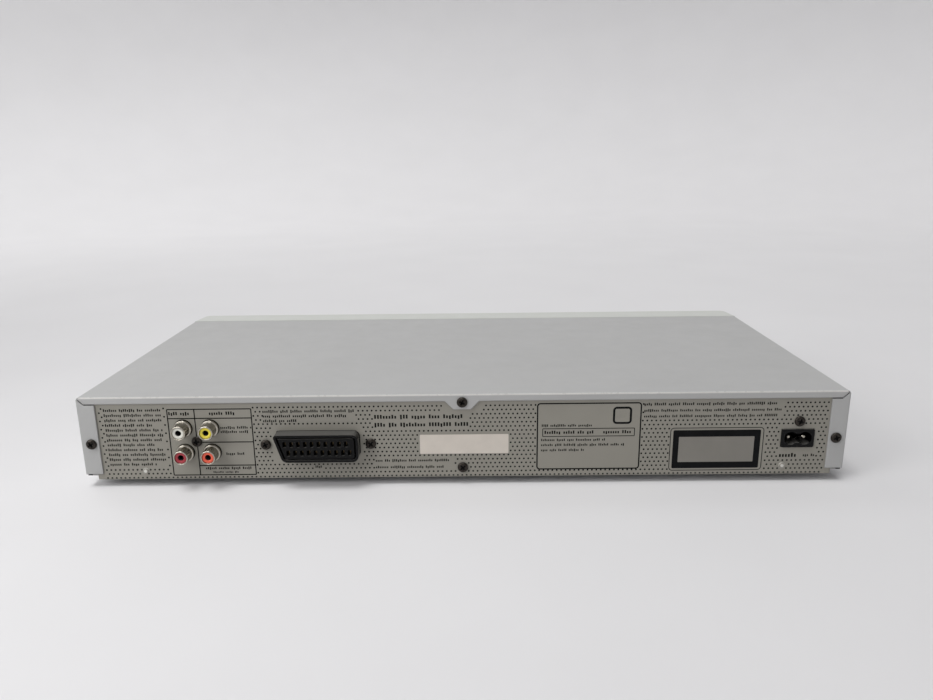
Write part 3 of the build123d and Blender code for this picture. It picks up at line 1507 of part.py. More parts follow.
with BuildPart() as power_board:
    with BuildSketch(Plane.XY.offset(z_board)):
        with Locations(((power_left + power_right) / 2, (power_front + y_board_end) / 2)):
            Rectangle(power_right - power_left, power_depth)
        with Locations(*power_spots):
            Circle(screw_radius, mode=Mode.SUBTRACT)
    extrude(amount=board_sheet)
power_board.part.label = "power_board"
export_step(power_board.part, "parts/power_board.step")

# Chips: each has its place on the main board, its width, depth and height
x_large_chip = main_left + 52
x_small_chip = main_left + 92
y_large_chip = y_board_end - 79.6
large_chip = 28.0
large_chip_height = 3.0
chip_height = 1.6
chip_places = [
    (x_large_chip, y_large_chip, large_chip, large_chip, large_chip_height),
    (x_small_chip, y_large_chip, 22, 10, chip_height),
    (x_small_chip, y_large_chip + 18, 22, 10, chip_height),
    (main_left + 27, y_large_chip + 25, 18, 12, chip_height),
    (main_right - 25, y_large_chip + 25, 9, 6, chip_height),
]
with BuildPart() as main_chips:
    for x, y, width, depth, height in chip_places:
        with BuildSketch(Plane.XY.offset(z_parts)):
            with Locations((x, y)):
                Rectangle(width, depth)
        extrude(amount=height)
main_chips.part.label = "main_chips"
export_step(main_chips.part, "parts/main_chips.step")

# Heat sinks: a finned block on the large chip and an upright plate with two feet on the power board
fin_pitch = 4.0
fin_sheet = 1.2
fin_height = 9.0
sink_side = large_chip - 2
sink_base = 2.0
plate_length = 40.0
plate_height = 24.0
x_plate = power_right - 20
y_plate = y_board_end - 64.6
with BuildPart() as heat_sinks:
    with BuildSketch(Plane.XY.offset(z_parts + large_chip_height)):
        with Locations((x_large_chip, y_large_chip)):
            Rectangle(sink_side, sink_side)
    extrude(amount=sink_base)
    with BuildSketch(Plane.XY.offset(z_parts + large_chip_height + sink_base)):
        with Locations((x_large_chip, y_large_chip)):
            with GridLocations(fin_pitch, 0, 7, 1):
                Rectangle(fin_sheet, sink_side)
    extrude(amount=fin_height)
    with BuildSketch(Plane.XY.offset(z_parts)):
        with Locations((x_plate, y_plate)):
            Rectangle(sink_base, plate_length)
        for side in (-1, 1):
            with Locations((x_plate + 4, y_plate + side * (plate_length / 2 - 1))):
                Rectangle(4 * sink_base, sink_base)
    extrude(amount=plate_height)
heat_sinks.part.label = "heat_sinks"
export_step(heat_sinks.part, "parts/heat_sinks.step")

# Capacitors: each has its place on a board, its radius and height
small_can = 3.2
small_can_height = 8.0
medium_can = 4.0
medium_can_height = 10.0
supply_can = 5.0
supply_can_height = 20.0
large_can = 9.0
large_can_height = 30.0
capacitor_places = [
    (power_left + 17, y_plate - 35, large_can, large_can_height),
    (power_right - 10, y_plate - 45, supply_can, supply_can_height),
    (power_right - 10, y_plate - 65, supply_can, supply_can_height),
    (power_right - 30, y_plate - 65, medium_can, medium_can_height),
    (main_left + 17, y_large_chip + 50, small_can, small_can_height),
    (main_right - 25, y_large_chip - 10, small_can, small_can_height),
    (main_right - 15, y_large_chip + 10, small_can, small_can_height),
    (main_left + 72, y_large_chip + 40, medium_can, medium_can_height),
    (main_right - 35, y_large_chip - 25, medium_can, medium_can_height),
]
with BuildPart() as capacitors:
    for x, y, radius, height in capacitor_places:
        with BuildSketch(Plane.XY.offset(z_parts)):
            with Locations((x, y)):
                Circle(radius)
        extrude(amount=height)
capacitors.part.label = "capacitors"
export_step(capacitors.part, "parts/capacitors.step")

# Transformer: a core with its winding between the limbs, midway between the board's edge and the plate
core_width = 26.0
core_depth = 30.0
core_height = 22.0
winding_width = 32.0
winding_depth = 20.0
winding_rise = 3.0
x_transformer = (power_left + x_plate) / 2
with BuildPart() as transformer:
    with BuildSketch(Plane.XY.offset(z_parts)):
        with Locations((x_transformer, y_plate)):
            Rectangle(core_width, core_depth)
    extrude(amount=core_height)
    with BuildSketch(Plane.XY.offset(z_parts + winding_rise)):
        with Locations((x_transformer, y_plate)):
            Rectangle(winding_width, winding_depth)
    extrude(amount=core_height - 2 * winding_rise)
transformer.part.label = "transformer"
export_step(transformer.part, "parts/transformer.step")

choke_width = 20.0
choke_depth = 18.0
choke_height = 16.0
with BuildPart() as mains_choke:
    with BuildSketch(Plane.XY.offset(z_parts)):
        with Locations((x_plate, y_board_end - inlet_body_depth - choke_depth / 2)):
            RectangleRounded(choke_width, choke_depth, 3)
    extrude(amount=choke_height)
mains_choke.part.label = "mains_choke"
export_step(mains_choke.part, "parts/mains_choke.step")

# Fuse: a glass tube in two clips
fuse_radius = 2.5
fuse_length = 20.0
fuse_rise = 4.0
clip_width = 3.0
x_fuse = power_left + 5
y_fuse = y_board_end - 27.6
with BuildPart() as mains_fuse:
    with BuildSketch(Plane.YZ.offset(x_fuse)):
        with Locations((y_fuse, z_parts + fuse_rise)):
            Circle(fuse_radius)
    extrude(amount=fuse_length)
    with BuildSketch(Plane.XY.offset(z_parts)):
        with Locations((x_fuse + 2, y_fuse), (x_fuse + fuse_length - 2, y_fuse)):
            Rectangle(clip_width, 2 * clip_width)
    extrude(amount=fuse_rise)
mains_fuse.part.label = "mains_fuse"
export_step(mains_fuse.part, "parts/mains_fuse.step")

# Board plugs: each has its place, its width and depth
plug_rise = 7.0
plug_side = 6.0
y_link_plug = y_board_end - scart_depth - 9
y_front_plug = main_front + 12
x_front_plug = main_left + 37
front_plug_width = 20.0
link_plug_depth = 14.0
plug_places = [
    (main_left + 12, y_front_plug, 16, plug_side),
    (x_front_plug, y_front_plug, front_plug_width, plug_side),
    (main_left + plug_side, y_large_chip + 5, plug_side, 24),
    (main_left + plug_side, y_link_plug, plug_side, link_plug_depth),
    (power_right - plug_side, y_link_plug, plug_side, link_plug_depth),
]
with BuildPart() as board_plugs:
    for x, y, width, depth in plug_places:
        with BuildSketch(Plane.XY.offset(z_parts)):
            with Locations((x, y)):
                Rectangle(width, depth)
        extrude(amount=plug_rise)
board_plugs.part.label = "board_plugs"
export_step(board_plugs.part, "parts/board_plugs.step")

# Inner screws for the boards, the loader and the front boards
with BuildPart() as inner_screws:
    for z, spots in ((z_parts, main_spots + power_spots), (z_frame + frame_floor, ear_spots)):
        with BuildSketch(Plane.XY.offset(z)):
            with Locations(*spots):
                Circle(screw_head_radius - 0.2)
        extrude(amount=screw_head_height)
        with BuildSketch(Plane.XY.offset(z)):
            with Locations(*spots):
                Circle(screw_radius - snug_gap)
        extrude(amount=-5)
    with BuildSketch(upright(y_front_board + board_sheet)):
        with Locations(*board_boss_spots):
            Circle(screw_head_radius - 0.2)
    extrude(amount=-screw_head_height)
    with BuildSketch(upright(y_front_board + board_sheet)):
        with Locations(*board_boss_spots):
            Circle(screw_radius - snug_gap)
    extrude(amount=board_sheet)
inner_screws.part.label = "inner_screws"
export_step(inner_screws.part, "parts/inner_screws.step")

# Cables: a flat one from board to board along the chassis floor, and one up to the front board
cable_sheet = 1.0
cable_bow = 4.0
z_cable_end = z_parts + plug_rise
z_cable_low = z_floor + cable_sheet / 2 + 0.1
link_width = link_plug_depth - 2
ribbon_width = front_plug_width - 4
y_ribbon_bow = y_front_board + board_sheet + 3 * cable_bow
with BuildPart() as inner_cables:
    with BuildSketch(upright(y_link_plug + link_width / 2)):
        with BuildLine():
            Polyline(
                (power_right - plug_side, z_cable_end + cable_sheet / 2),
                (power_right - plug_side, z_cable_end + cable_bow),
                (power_right + cable_bow, z_cable_end + cable_bow),
                (power_right + cable_bow, z_cable_low),
                (main_left - cable_bow, z_cable_low),
                (main_left - cable_bow, z_cable_end + cable_bow),
                (main_left + plug_side, z_cable_end + cable_bow),
                (main_left + plug_side, z_cable_end + cable_sheet / 2),
            )
            offset(amount=cable_sheet / 2, side=Side.BOTH)
        make_face()
    extrude(amount=link_width)
    with BuildSketch(Plane.YZ.offset(x_front_plug - ribbon_width / 2)):
        with BuildLine():
            Polyline(
                (y_front_plug, z_cable_end + cable_sheet / 4),
                (y_front_plug, z_cable_end + 2.5 * cable_bow),
                (y_ribbon_bow, z_cable_end + 2.5 * cable_bow),
                (y_front_board + board_sheet + cable_sheet / 4, z_cable_end + 3),
            )
            offset(amount=cable_sheet / 4, side=Side.BOTH)
        make_face()
    extrude(amount=ribbon_width)
inner_cables.part.label = "inner_cables"
export_step(inner_cables.part, "parts/inner_cables.step")
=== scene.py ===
"""Looks for the disc player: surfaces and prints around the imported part, materials, light and camera.

Blender works in metres. Sizes here are in millimetres and are turned into metres when a mesh is made.
X is to the right seen from the front, the sockets face +Y, Z is up and zero under the feet. The rear side
is seen from behind, so there the left has the larger X. A drop is a distance below the cover's top.
"""

import math

import bpy
import numpy as np
from mathutils import Matrix, Vector


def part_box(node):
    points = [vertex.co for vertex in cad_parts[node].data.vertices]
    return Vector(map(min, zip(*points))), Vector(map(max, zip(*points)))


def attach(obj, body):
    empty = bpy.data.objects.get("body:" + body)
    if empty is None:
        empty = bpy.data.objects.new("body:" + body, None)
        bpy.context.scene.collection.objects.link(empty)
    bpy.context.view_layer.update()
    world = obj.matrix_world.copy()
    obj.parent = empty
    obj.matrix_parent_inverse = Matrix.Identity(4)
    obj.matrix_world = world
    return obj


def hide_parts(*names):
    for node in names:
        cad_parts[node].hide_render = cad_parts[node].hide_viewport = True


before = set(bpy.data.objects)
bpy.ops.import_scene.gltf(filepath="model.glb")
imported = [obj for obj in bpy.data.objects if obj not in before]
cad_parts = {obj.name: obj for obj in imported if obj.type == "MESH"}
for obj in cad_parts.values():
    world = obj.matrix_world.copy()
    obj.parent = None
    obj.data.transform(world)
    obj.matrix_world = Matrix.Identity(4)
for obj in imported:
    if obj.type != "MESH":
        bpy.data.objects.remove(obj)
for name in ("Cube", "Light", "Camera"):
    if name in bpy.data.objects:
        bpy.data.objects.remove(bpy.data.objects[name])
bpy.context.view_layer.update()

MM = 0.001


def box_mm(node):
    """The two corners of a node's box, in millimetres."""
    low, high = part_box(node)
    return np.array(low) / MM, np.array(high) / MM


COVER_LOW, COVER_HIGH = box_mm("top_cover")
COVER_SHEET = 0.8
HALF = COVER_HIGH[0]
Y_REAR = COVER_HIGH[1]
Z_TOP = COVER_HIGH[2]
Z_HEM = COVER_LOW[2]
Y_PANEL = Y_REAR - COVER_SHEET


# Materials


def linear(r, g, b):
    """A colour written in 0-255 screen values, as the linear values that shaders use."""
    c = np.array([r, g, b]) / 255
    return tuple(np.where(c <= 0.04045, c / 12.92, ((c + 0.055) / 1.055) ** 2.4)) + (1.0,)


def shade(colour, factor):
    """A colour made lighter or darker."""
    return tuple(min(1.0, c * factor) for c in colour[:3]) + (1.0,)


# Places of the colour sockets of a mix node: its two inputs and its result
MIX_A, MIX_B, MIX_RESULT = 6, 7, 2


class Finish:
    """A material under construction, with the few nodes that the finishes here share."""

    def __init__(self, name):
        self.material = bpy.data.materials.new(name)
        self.material.use_nodes = True
        self.tree = self.material.node_tree
        self.shader = self.tree.nodes["Principled BSDF"]
        self.coords = self.tree.nodes.new("ShaderNodeTexCoord")

    def node(self, kind, **values):
        """A new node with the given settings."""
        made = self.tree.nodes.new(kind)
        for key, value in values.items():
            setattr(made, key, value)
        return made

    def link(self, a, b):
        """A wire from socket a to socket b."""
        self.tree.links.new(a, b)

    def noise(self, size, stretch=(1, 1, 1), detail=3.0, rough=0.55):
        """Noise whose lumps are about size millimetres, longer along an axis where stretch is under 1."""
        mapping = self.node("ShaderNodeMapping")
        mapping.inputs["Scale"].default_value = stretch
        self.link(self.coords.outputs["Object"], mapping.inputs["Vector"])
        noise = self.node("ShaderNodeTexNoise")
        noise.inputs["Scale"].default_value = 1 / (size * MM)
        noise.inputs["Detail"].default_value = detail
        noise.inputs["Roughness"].default_value = rough
        self.link(mapping.outputs["Vector"], noise.inputs["Vector"])
        return noise.outputs["Fac"]

    def spread(self, value, low, high, into=(0.0, 1.0)):
        """The part of value between low and high, stretched over into."""
        made = self.node("ShaderNodeMapRange")
        made.inputs["From Min"].default_value = low
        made.inputs["From Max"].default_value = high
        made.inputs["To Min"].default_value = into[0]
        made.inputs["To Max"].default_value = into[1]
        self.link(value, made.inputs["Value"])
        return made.outputs["Result"]

    def mix(self, factor, a, b):
        """Colour a where factor is 0 and b where it is 1. Either is a colour or a socket."""
        made = self.node("ShaderNodeMix", data_type="RGBA")
        self.link(factor, made.inputs["Factor"])
        for socket, value in ((made.inputs[MIX_A], a), (made.inputs[MIX_B], b)):
            if isinstance(value, tuple):
                socket.default_value = value
            else:
                self.link(value, socket)
        return made.outputs[MIX_RESULT]

    def bump(self, height, depth):
        """Relief of the given depth in millimetres."""
        made = self.node("ShaderNodeBump")
        made.inputs["Distance"].default_value = depth * MM
        self.link(height, made.inputs["Height"])
        self.link(made.outputs["Normal"], self.shader.inputs["Normal"])
        return made


CLOUD_RANGE = (0.3, 0.7)
GLOSS_PLAY = 0.06
COAT_ROUGH = 0.12
WEAR_PATCH = 9.0
WEAR_RANGE = (0.66, 0.78)
WEAR_LIGHTER = 1.35
# The pale grey painted onto faces that look up as a highlight of the light from above, and how far up they
# must face
TOP_HIGHLIGHT = linear(150, 148, 144)
TOP_HIGHLIGHT_FACING = (0.6, 0.95)


def finish(name, colour, rough, metal=0.0, mottle=0.05, mottle_size=25.0, grain=0.0, grain_size=0.5,
           stretch=(1, 1, 1), wear=0.0, coat=0.0, specular=0.5, fold=0.0, top_highlight=0.0):
    """A surface with faint cloudy variation in tone and gloss, fine grain in relief, and pale wear in
    patches. colour is in 0-255 screen values. fold is the radius in millimetres over which its edges look
    rounded. The last argument is how far the faces that look up are painted towards a pale grey, as a
    painted highlight of the light from above."""
    f = Finish(name)
    colour = linear(*colour)
    cloud = f.noise(mottle_size, stretch)
    tone = f.mix(f.spread(cloud, *CLOUD_RANGE), shade(colour, 1 - mottle), shade(colour, 1 + mottle))
    if wear:
        rubbed = f.spread(f.noise(WEAR_PATCH, (1, 0.25, 1), 8.0, 0.7), *WEAR_RANGE)
        tone = f.mix(f.spread(rubbed, 0, 1, (0, wear)), tone, shade(colour, WEAR_LIGHTER))
    # Painted highlight on the faces that look up
    if top_highlight:
        facing = f.node("ShaderNodeSeparateXYZ")
        f.link(f.coords.outputs["Normal"], facing.inputs["Vector"])
        tone = f.mix(f.spread(facing.outputs["Z"], *TOP_HIGHLIGHT_FACING, (0, top_highlight)), tone, TOP_HIGHLIGHT)
    f.link(tone, f.shader.inputs["Base Color"])
    gloss = f.noise(mottle_size / 4, stretch, 5.0)
    rough_range = (max(0.02, rough - GLOSS_PLAY), rough + GLOSS_PLAY)
    f.link(f.spread(gloss, *CLOUD_RANGE, rough_range), f.shader.inputs["Roughness"])
    f.shader.inputs["Metallic"].default_value = metal
    f.shader.inputs["Specular IOR Level"].default_value = specular
    f.shader.inputs["Coat Weight"].default_value = coat
    f.shader.inputs["Coat Roughness"].default_value = COAT_ROUGH
    if grain:
        relief = f.bump(f.noise(grain_size, stretch, 2.0), grain)
        if fold:
            rounded = f.node("ShaderNodeBevel", samples=8)
            rounded.inputs["Radius"].default_value = fold * MM
            f.link(rounded.outputs["Normal"], relief.inputs["Normal"])
    return f.material


# Each entry becomes a material, which dresses the nodes whose slot has its name
FINISHES = {
    "cover_paint": dict(colour=(172, 172, 171), rough=0.42, mottle=0.018, mottle_size=60, grain=0.012,
                        grain_size=0.35, wear=0.05, specular=0.45, fold=1.0),
    "panel_paint": dict(colour=(142, 139, 130), rough=0.5, mottle=0.03, mottle_size=40, grain=0.01,
                        grain_size=0.4, specular=0.4),
    "zinc_sheet": dict(colour=(186, 188, 186), rough=0.38, metal=1.0, mottle=0.09, mottle_size=14,
                       grain=0.01, grain_size=0.8, wear=0.1),
    "fascia_plastic": dict(colour=(198, 200, 194), rough=0.38, mottle=0.015, mottle_size=50,
                           grain=0.006, grain_size=0.25, coat=0.15),
    "key_plastic": dict(colour=(206, 208, 206), rough=0.26, mottle=0.015, mottle_size=20, coat=0.3,
                        grain=0.003, grain_size=0.3),
    "window": dict(colour=(14, 16, 19), rough=0.07, mottle=0.2, mottle_size=30, coat=0.6),
    # Its faces that look up carry a painted highlight
    "black_plastic": dict(colour=(8, 8, 9), rough=0.15, mottle=0.14, mottle_size=9, grain=0.006,
                          grain_size=0.35, wear=0.04, specular=0.16, top_highlight=0.3),
    "dark_screw": dict(colour=(54, 50, 46), rough=0.3, metal=0.8, mottle=0.2, mottle_size=2.2,
                       grain=0.01, grain_size=0.3, wear=0.25),
    "rubber": dict(colour=(34, 34, 34), rough=0.78, mottle=0.14, mottle_size=8, grain=0.03, grain_size=0.6),
    "nickel": dict(colour=(176, 171, 160), rough=0.2, metal=1.0, mottle=0.06, mottle_size=3, grain=0.004,
                   grain_size=0.5),
    "steel": dict(colour=(190, 190, 190), rough=0.3, metal=1.0, mottle=0.08, mottle_size=6, grain=0.006,
                  grain_size=0.4, stretch=(1, 1, 0.2)),
    # The contacts: a dull brass, darkened further as painted shade for their place deep in the socket's
    # holes
    "gold_contact": dict(colour=(84, 74, 56), rough=0.4, metal=1.0, mottle=0.1, mottle_size=1.5),
    "white_plastic": dict(colour=(226, 224, 214), rough=0.32, mottle=0.03, mottle_size=2.5, coat=0.2),
    "red_plastic": dict(colour=(164, 42, 54), rough=0.34, mottle=0.06, mottle_size=2.5, coat=0.2),
    "yellow_plastic": dict(colour=(226, 208, 62), rough=0.34, mottle=0.06, mottle_size=2.5, coat=0.2),
    "orange_plastic": dict(colour=(232, 92, 64), rough=0.34, mottle=0.06, mottle_size=2.5, coat=0.2),
    "board_green": dict(colour=(38, 84, 50), rough=0.36, mottle=0.16, mottle_size=5, coat=0.3),
    "board_tan": dict(colour=(172, 138, 84), rough=0.55, mottle=0.1, mottle_size=6, grain=0.01,
                      grain_size=0.6),
    "chip_black": dict(colour=(34, 34, 36), rough=0.55, mottle=0.08, mottle_size=6, grain=0.008,
                       grain_size=0.3),
    "sink_alloy": dict(colour=(176, 178, 180), rough=0.42, metal=0.9, mottle=0.08, mottle_size=7,
                       grain=0.012, grain_size=0.6),
    "can_blue": dict(colour=(36, 52, 96), rough=0.3, mottle=0.1, mottle_size=6, coat=0.3),
    "coil_core": dict(colour=(92, 76, 50), rough=0.5, mottle=0.14, mottle_size=5, grain=0.02,
                      grain_size=0.7),
    "fuse_glass": dict(colour=(200, 208, 206), rough=0.1, mottle=0.06, mottle_size=3, coat=0.5),
    "cable_white": dict(colour=(222, 222, 214), rough=0.48, mottle=0.05, mottle_size=5),
    "loader_grey": dict(colour=(68, 70, 73), rough=0.5, mottle=0.07, mottle_size=12, grain=0.012,
                        grain_size=0.4),
    "tray_plastic": dict(colour=(48, 49, 52), rough=0.44, mottle=0.06, mottle_size=16, grain=0.01,
                         grain_size=0.35),
    "gear_white": dict(colour=(222, 219, 206), rough=0.42, mottle=0.04, mottle_size=6),
    "magnet": dict(colour=(70, 68, 66), rough=0.4, metal=0.6, mottle=0.16, mottle_size=4),
    "lens": dict(colour=(66, 74, 104), rough=0.04, mottle=0.12, mottle_size=3, coat=1.0),
}
MATERIALS = {name: finish(name, **values) for name, values in FINISHES.items()}
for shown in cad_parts.values():
    slot_name = shown.material_slots[0].material.name.split(".")[0]
    if slot_name in MATERIALS:
        shown.material_slots[0].material = MATERIALS[slot_name]

# Materials of the surfaces that only this script makes
# Print ink, also used for the painted shade behind the mitre gaps and at the hem ends
INK_AND_SHADE = finish("print_ink", (16, 17, 18), 0.7, mottle=0.1, mottle_size=6, specular=0.1)
INK_SOFT = finish("print_ink_soft", (24, 24, 22), 0.7, mottle=0.12, mottle_size=4, specular=0.1)
PALE_INK = finish("print_pale", (127, 124, 117), 0.5, mottle=0.04, mottle_size=12)
STICKER = finish("sticker_paper", (207, 199, 189), 0.5, mottle=0.04, mottle_size=8, grain=0.006,
                 grain_size=0.8)
STUD = finish("stud_bright", (206, 204, 198), 0.42, mottle=0.05, mottle_size=2)
# A pale strip along the cover's rear fold, as its painted highlight
FOLD_HIGHLIGHT = finish("fold_edge", (214, 212, 208), 0.3, mottle=0.05, mottle_size=9, wear=0.2)
KEY_INK = finish("key_ink", (70, 72, 74), 0.5, mottle=0.06, mottle_size=2)
# Near black painted into the screws' cross recesses as their shade
RECESS_SHADE = (0.0015, 0.0015, 0.0015, 1.0)


def screw_head_material():
    """The screws' finish, with painted shade: nearly black in the cross recesses, where a per-point
    attribute is 1.
    """
    made = MATERIALS["dark_screw"].copy()
    made.name = "screw_head"
    tree = made.node_tree
    base = tree.nodes["Principled BSDF"].inputs["Base Color"]
    recess_shade = tree.nodes.new("ShaderNodeAttribute")
    recess_shade.attribute_name = "recess_shade"
    darker = tree.nodes.new("ShaderNodeMix")
    darker.data_type = "RGBA"
    darker.inputs[MIX_B].default_value = RECESS_SHADE
    tree.links.new(recess_shade.outputs["Fac"], darker.inputs["Factor"])
    tree.links.new(base.links[0].from_socket, darker.inputs[MIX_A])
    tree.links.new(darker.outputs[MIX_RESULT], base)
    return made


SCREW_HEAD = screw_head_material()


# Surfaces


def piece(name, points, faces, body, slot, material, smooth=False, replaces=()):
    """One object from points in millimetres (n, 3) and a list of face arrays, riding on a body."""
    mesh = bpy.data.meshes.new(name)
    polygons = [f for group in faces for f in group.tolist()]
    mesh.from_pydata((np.asarray(points, float) * MM).tolist(), [], polygons)
    mesh.polygons.foreach_set("use_smooth", np.full(len(mesh.polygons), smooth))
    mesh.materials.append(material)
    mesh.update()
    made = bpy.data.objects.new(name, mesh)
    bpy.context.scene.collection.objects.link(made)
    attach(made, body)
    if replaces:
        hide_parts(*replaces)
    return made


def repeat(points, faces, spots):
    """The same closed shape at many spots: spots (k, 3) are added to its points."""
    points, spots = np.asarray(points, float), np.asarray(spots, float)
    k, n = len(spots), len(points)
    many = (spots[:, None, :] + points[None]).reshape(-1, 3)
    shift = (np.arange(k) * n)[:, None, None]
    return many, [(group[None] + shift).reshape(-1, group.shape[1]) for group in faces]


def lathe(profile, axis="Y", around=72):
    """A profile of (radius, distance along the axis) turned once. Ends on the axis close in a fan; a profile
    that doesn't reach the axis closes on itself like a ring. It runs so that the outside is on its left
    seen along the axis, from the far end to the near one."""
    profile = np.asarray(profile, float)
    angle = np.arange(around) * 2 * math.pi / around
    ends = [profile[0, 0] < 1e-9, profile[-1, 0] < 1e-9]
    rings = profile[int(ends[0]):len(profile) - int(ends[1])]
    n = len(rings)
    r, h = rings[:, 0][:, None], np.broadcast_to(rings[:, 1][:, None], (n, around))
    u, v = r * np.cos(angle), r * np.sin(angle)
    points = np.stack([v, h, u] if axis == "Y" else [u, v, h], -1).reshape(-1, 3)
    i = np.arange(n - 1 if any(ends) else n)[:, None]
    j = np.arange(around)[None]
    a, b = i * around + j, i * around + (j + 1) % around
    c, d = ((i + 1) % n) * around + (j + 1) % around, ((i + 1) % n) * around + j
    faces = [np.stack([a, b, c, d], -1).reshape(-1, 4)]
    ring = np.arange(around)
    for at_end, closes in enumerate(ends):
        if closes:
            height = profile[-1 if at_end else 0, 1]
            points = np.vstack([points, [[0, height, 0] if axis == "Y" else [0, 0, height]]])
            pole = np.full(around, len(points) - 1)
            edge = ring + (n - 1) * around * at_end
            after = (ring + 1) % around + (n - 1) * around * at_end
            fan = [edge, after, pole] if at_end else [after, edge, pole]
            faces.append(np.stack(fan, -1))
    return points, faces


def bars(rects, y_low, y_high):
    """Closed boxes from y_low to y_high over rectangles (x0, x1, z0, z1)."""
    rects = np.asarray(rects, float).reshape(-1, 4)
    x, z = rects[:, [0, 1, 1, 0]], rects[:, [2, 2, 3, 3]]
    low = np.stack([x, np.full_like(x, y_low), z], -1)
    high = np.stack([x, np.full_like(x, y_high), z], -1)
    points = np.concatenate([low, high], 1).reshape(-1, 3)
    one = np.array([[0, 1, 2, 3], [4, 7, 6, 5], [0, 4, 5, 1], [1, 5, 6, 2], [2, 6, 7, 3], [3, 7, 4, 0]])
    return points, [(one[None] + (np.arange(len(rects)) * 8)[:, None, None]).reshape(-1, 4)]


def prism(outline, y_low, y_high):
    """A closed plate over an outline of (x, z) points that runs anticlockwise seen from the rear (+Y)."""
    outline = np.asarray(outline, float)
    n = len(outline)
    low = np.column_stack([outline[:, 0], np.full(n, y_low), outline[:, 1]])
    high = np.column_stack([outline[:, 0], np.full(n, y_high), outline[:, 1]])
    i = np.arange(n)
    sides = np.stack([i, (i + 1) % n, (i + 1) % n + n, i + n], -1)
    return np.vstack([low, high]), [sides, (i + n)[None], i[::-1][None]]


def together(*shapes):
    """Several shapes as one list of points and faces."""
    points, faces, count = [], [], 0
    for p, groups in shapes:
        points.append(np.asarray(p, float))
        faces += [g + count for g in groups]
        count += len(p)
    return np.vstack(points), faces


def flipped(shape, x):
    """The shape mirrored left to right about x."""
    points, faces = shape
    points = points * np.array([-1, 1, 1]) + np.array([2 * x, 0, 0])
    return points, [f[:, ::-1] for f in faces]


def rounded_outline(x0, x1, z0, z1, radius, steps=8):
    """A rectangle with round corners as (x, z) points, anticlockwise seen from the rear."""
    quarter = np.linspace(0, math.pi / 2, steps)
    corners = [(x0 + radius, z1 - radius), (x0 + radius, z0 + radius), (x1 - radius, z0 + radius),
               (x1 - radius, z1 - radius)]
    points = []
    for k, (cx, cz) in enumerate(corners):
        angle = math.pi / 2 + quarter + k * math.pi / 2
        points.append(np.column_stack([cx + radius * np.cos(angle), cz + radius * np.sin(angle)]))
    return np.vstack(points)[::-1]


def ring_plate(x0, x1, z0, z1, radius, line, y_low, y_high, steps=8):
    """A closed flat line of the given width along a rounded rectangle."""
    half = line / 2
    outer = rounded_outline(x0 - half, x1 + half, z0 - half, z1 + half, radius + half, steps)
    inner = rounded_outline(x0 + half, x1 - half, z0 + half, z1 - half, max(radius - half, 0.01), steps)
    n = len(outer)
    loops = [(outer, y_low), (outer, y_high), (inner, y_high), (inner, y_low)]
    points = np.vstack([np.column_stack([o[:, 0], np.full(n, y), o[:, 1]]) for o, y in loops])
    k, i = np.arange(4)[:, None], np.arange(n)[None]
    near, far = k * n, ((k + 1) % 4) * n
    faces = np.stack([near + i, near + (i + 1) % n, far + (i + 1) % n, far + i], -1)
    return points, [faces.reshape(-1, 4)]


def turned(name, profile, axis, around, spots, slot, material, replaces=()):
    """A turned shape at each of the spots, as one smooth piece of the player's case."""
    points, faces = repeat(*lathe(profile, axis, around), spots)
    piece(name, points, faces, "player", slot, material, True, replaces)


def on_rear(places, y=Y_PANEL):
    """Points on the rear side from places given as (x, drop)."""
    return np.array([(x, y, Z_TOP - drop) for x, drop in places])


# Screws: places as (x, drop), and how far each head is turned, in radians
COVER_SCREWS = [(-209.5, 27.6), (0, 4.6), (209.5, 27.6)]
COVER_SCREW_TURNS = [0.3, 1.1, 0.62]
PANEL_SCREWS = [(150.0, 26.8), (51.8, 29.0), (111.2, 29.0), (0, 43.8), (-188.7, 17.9)]
PANEL_SCREW_TURNS = [0.15, 0.9, 0.4, 0.7, 1.3]
# The dome's rim height, and the recess depth from which the painted shade in a recess is full
RIM_HEIGHT, FULL_SHADE_DEPTH = 0.55, 0.5
WING_REACH = 1.75
WING_WIDTH, WING_TAPER, WING_SIDE = 0.56, 0.14, 0.12
WING_DEPTH, WING_RISE, WING_END = 1.15, 0.45, 0.14


def wing(along, across):
    """Depth of two opposite wings of the cross recess, which narrow and rise towards their ends. WING_SIDE
    and WING_END are the widths of their slopes."""
    out = np.abs(along) / WING_REACH
    width = WING_WIDTH - WING_TAPER * np.clip(out, 0, 1)
    sides = np.clip((width - np.abs(across)) / WING_SIDE + 0.5, 0, 1)
    tips = np.clip((WING_REACH - np.abs(along)) / WING_END, 0, 1)
    return sides * tips * (WING_DEPTH - WING_RISE * out)


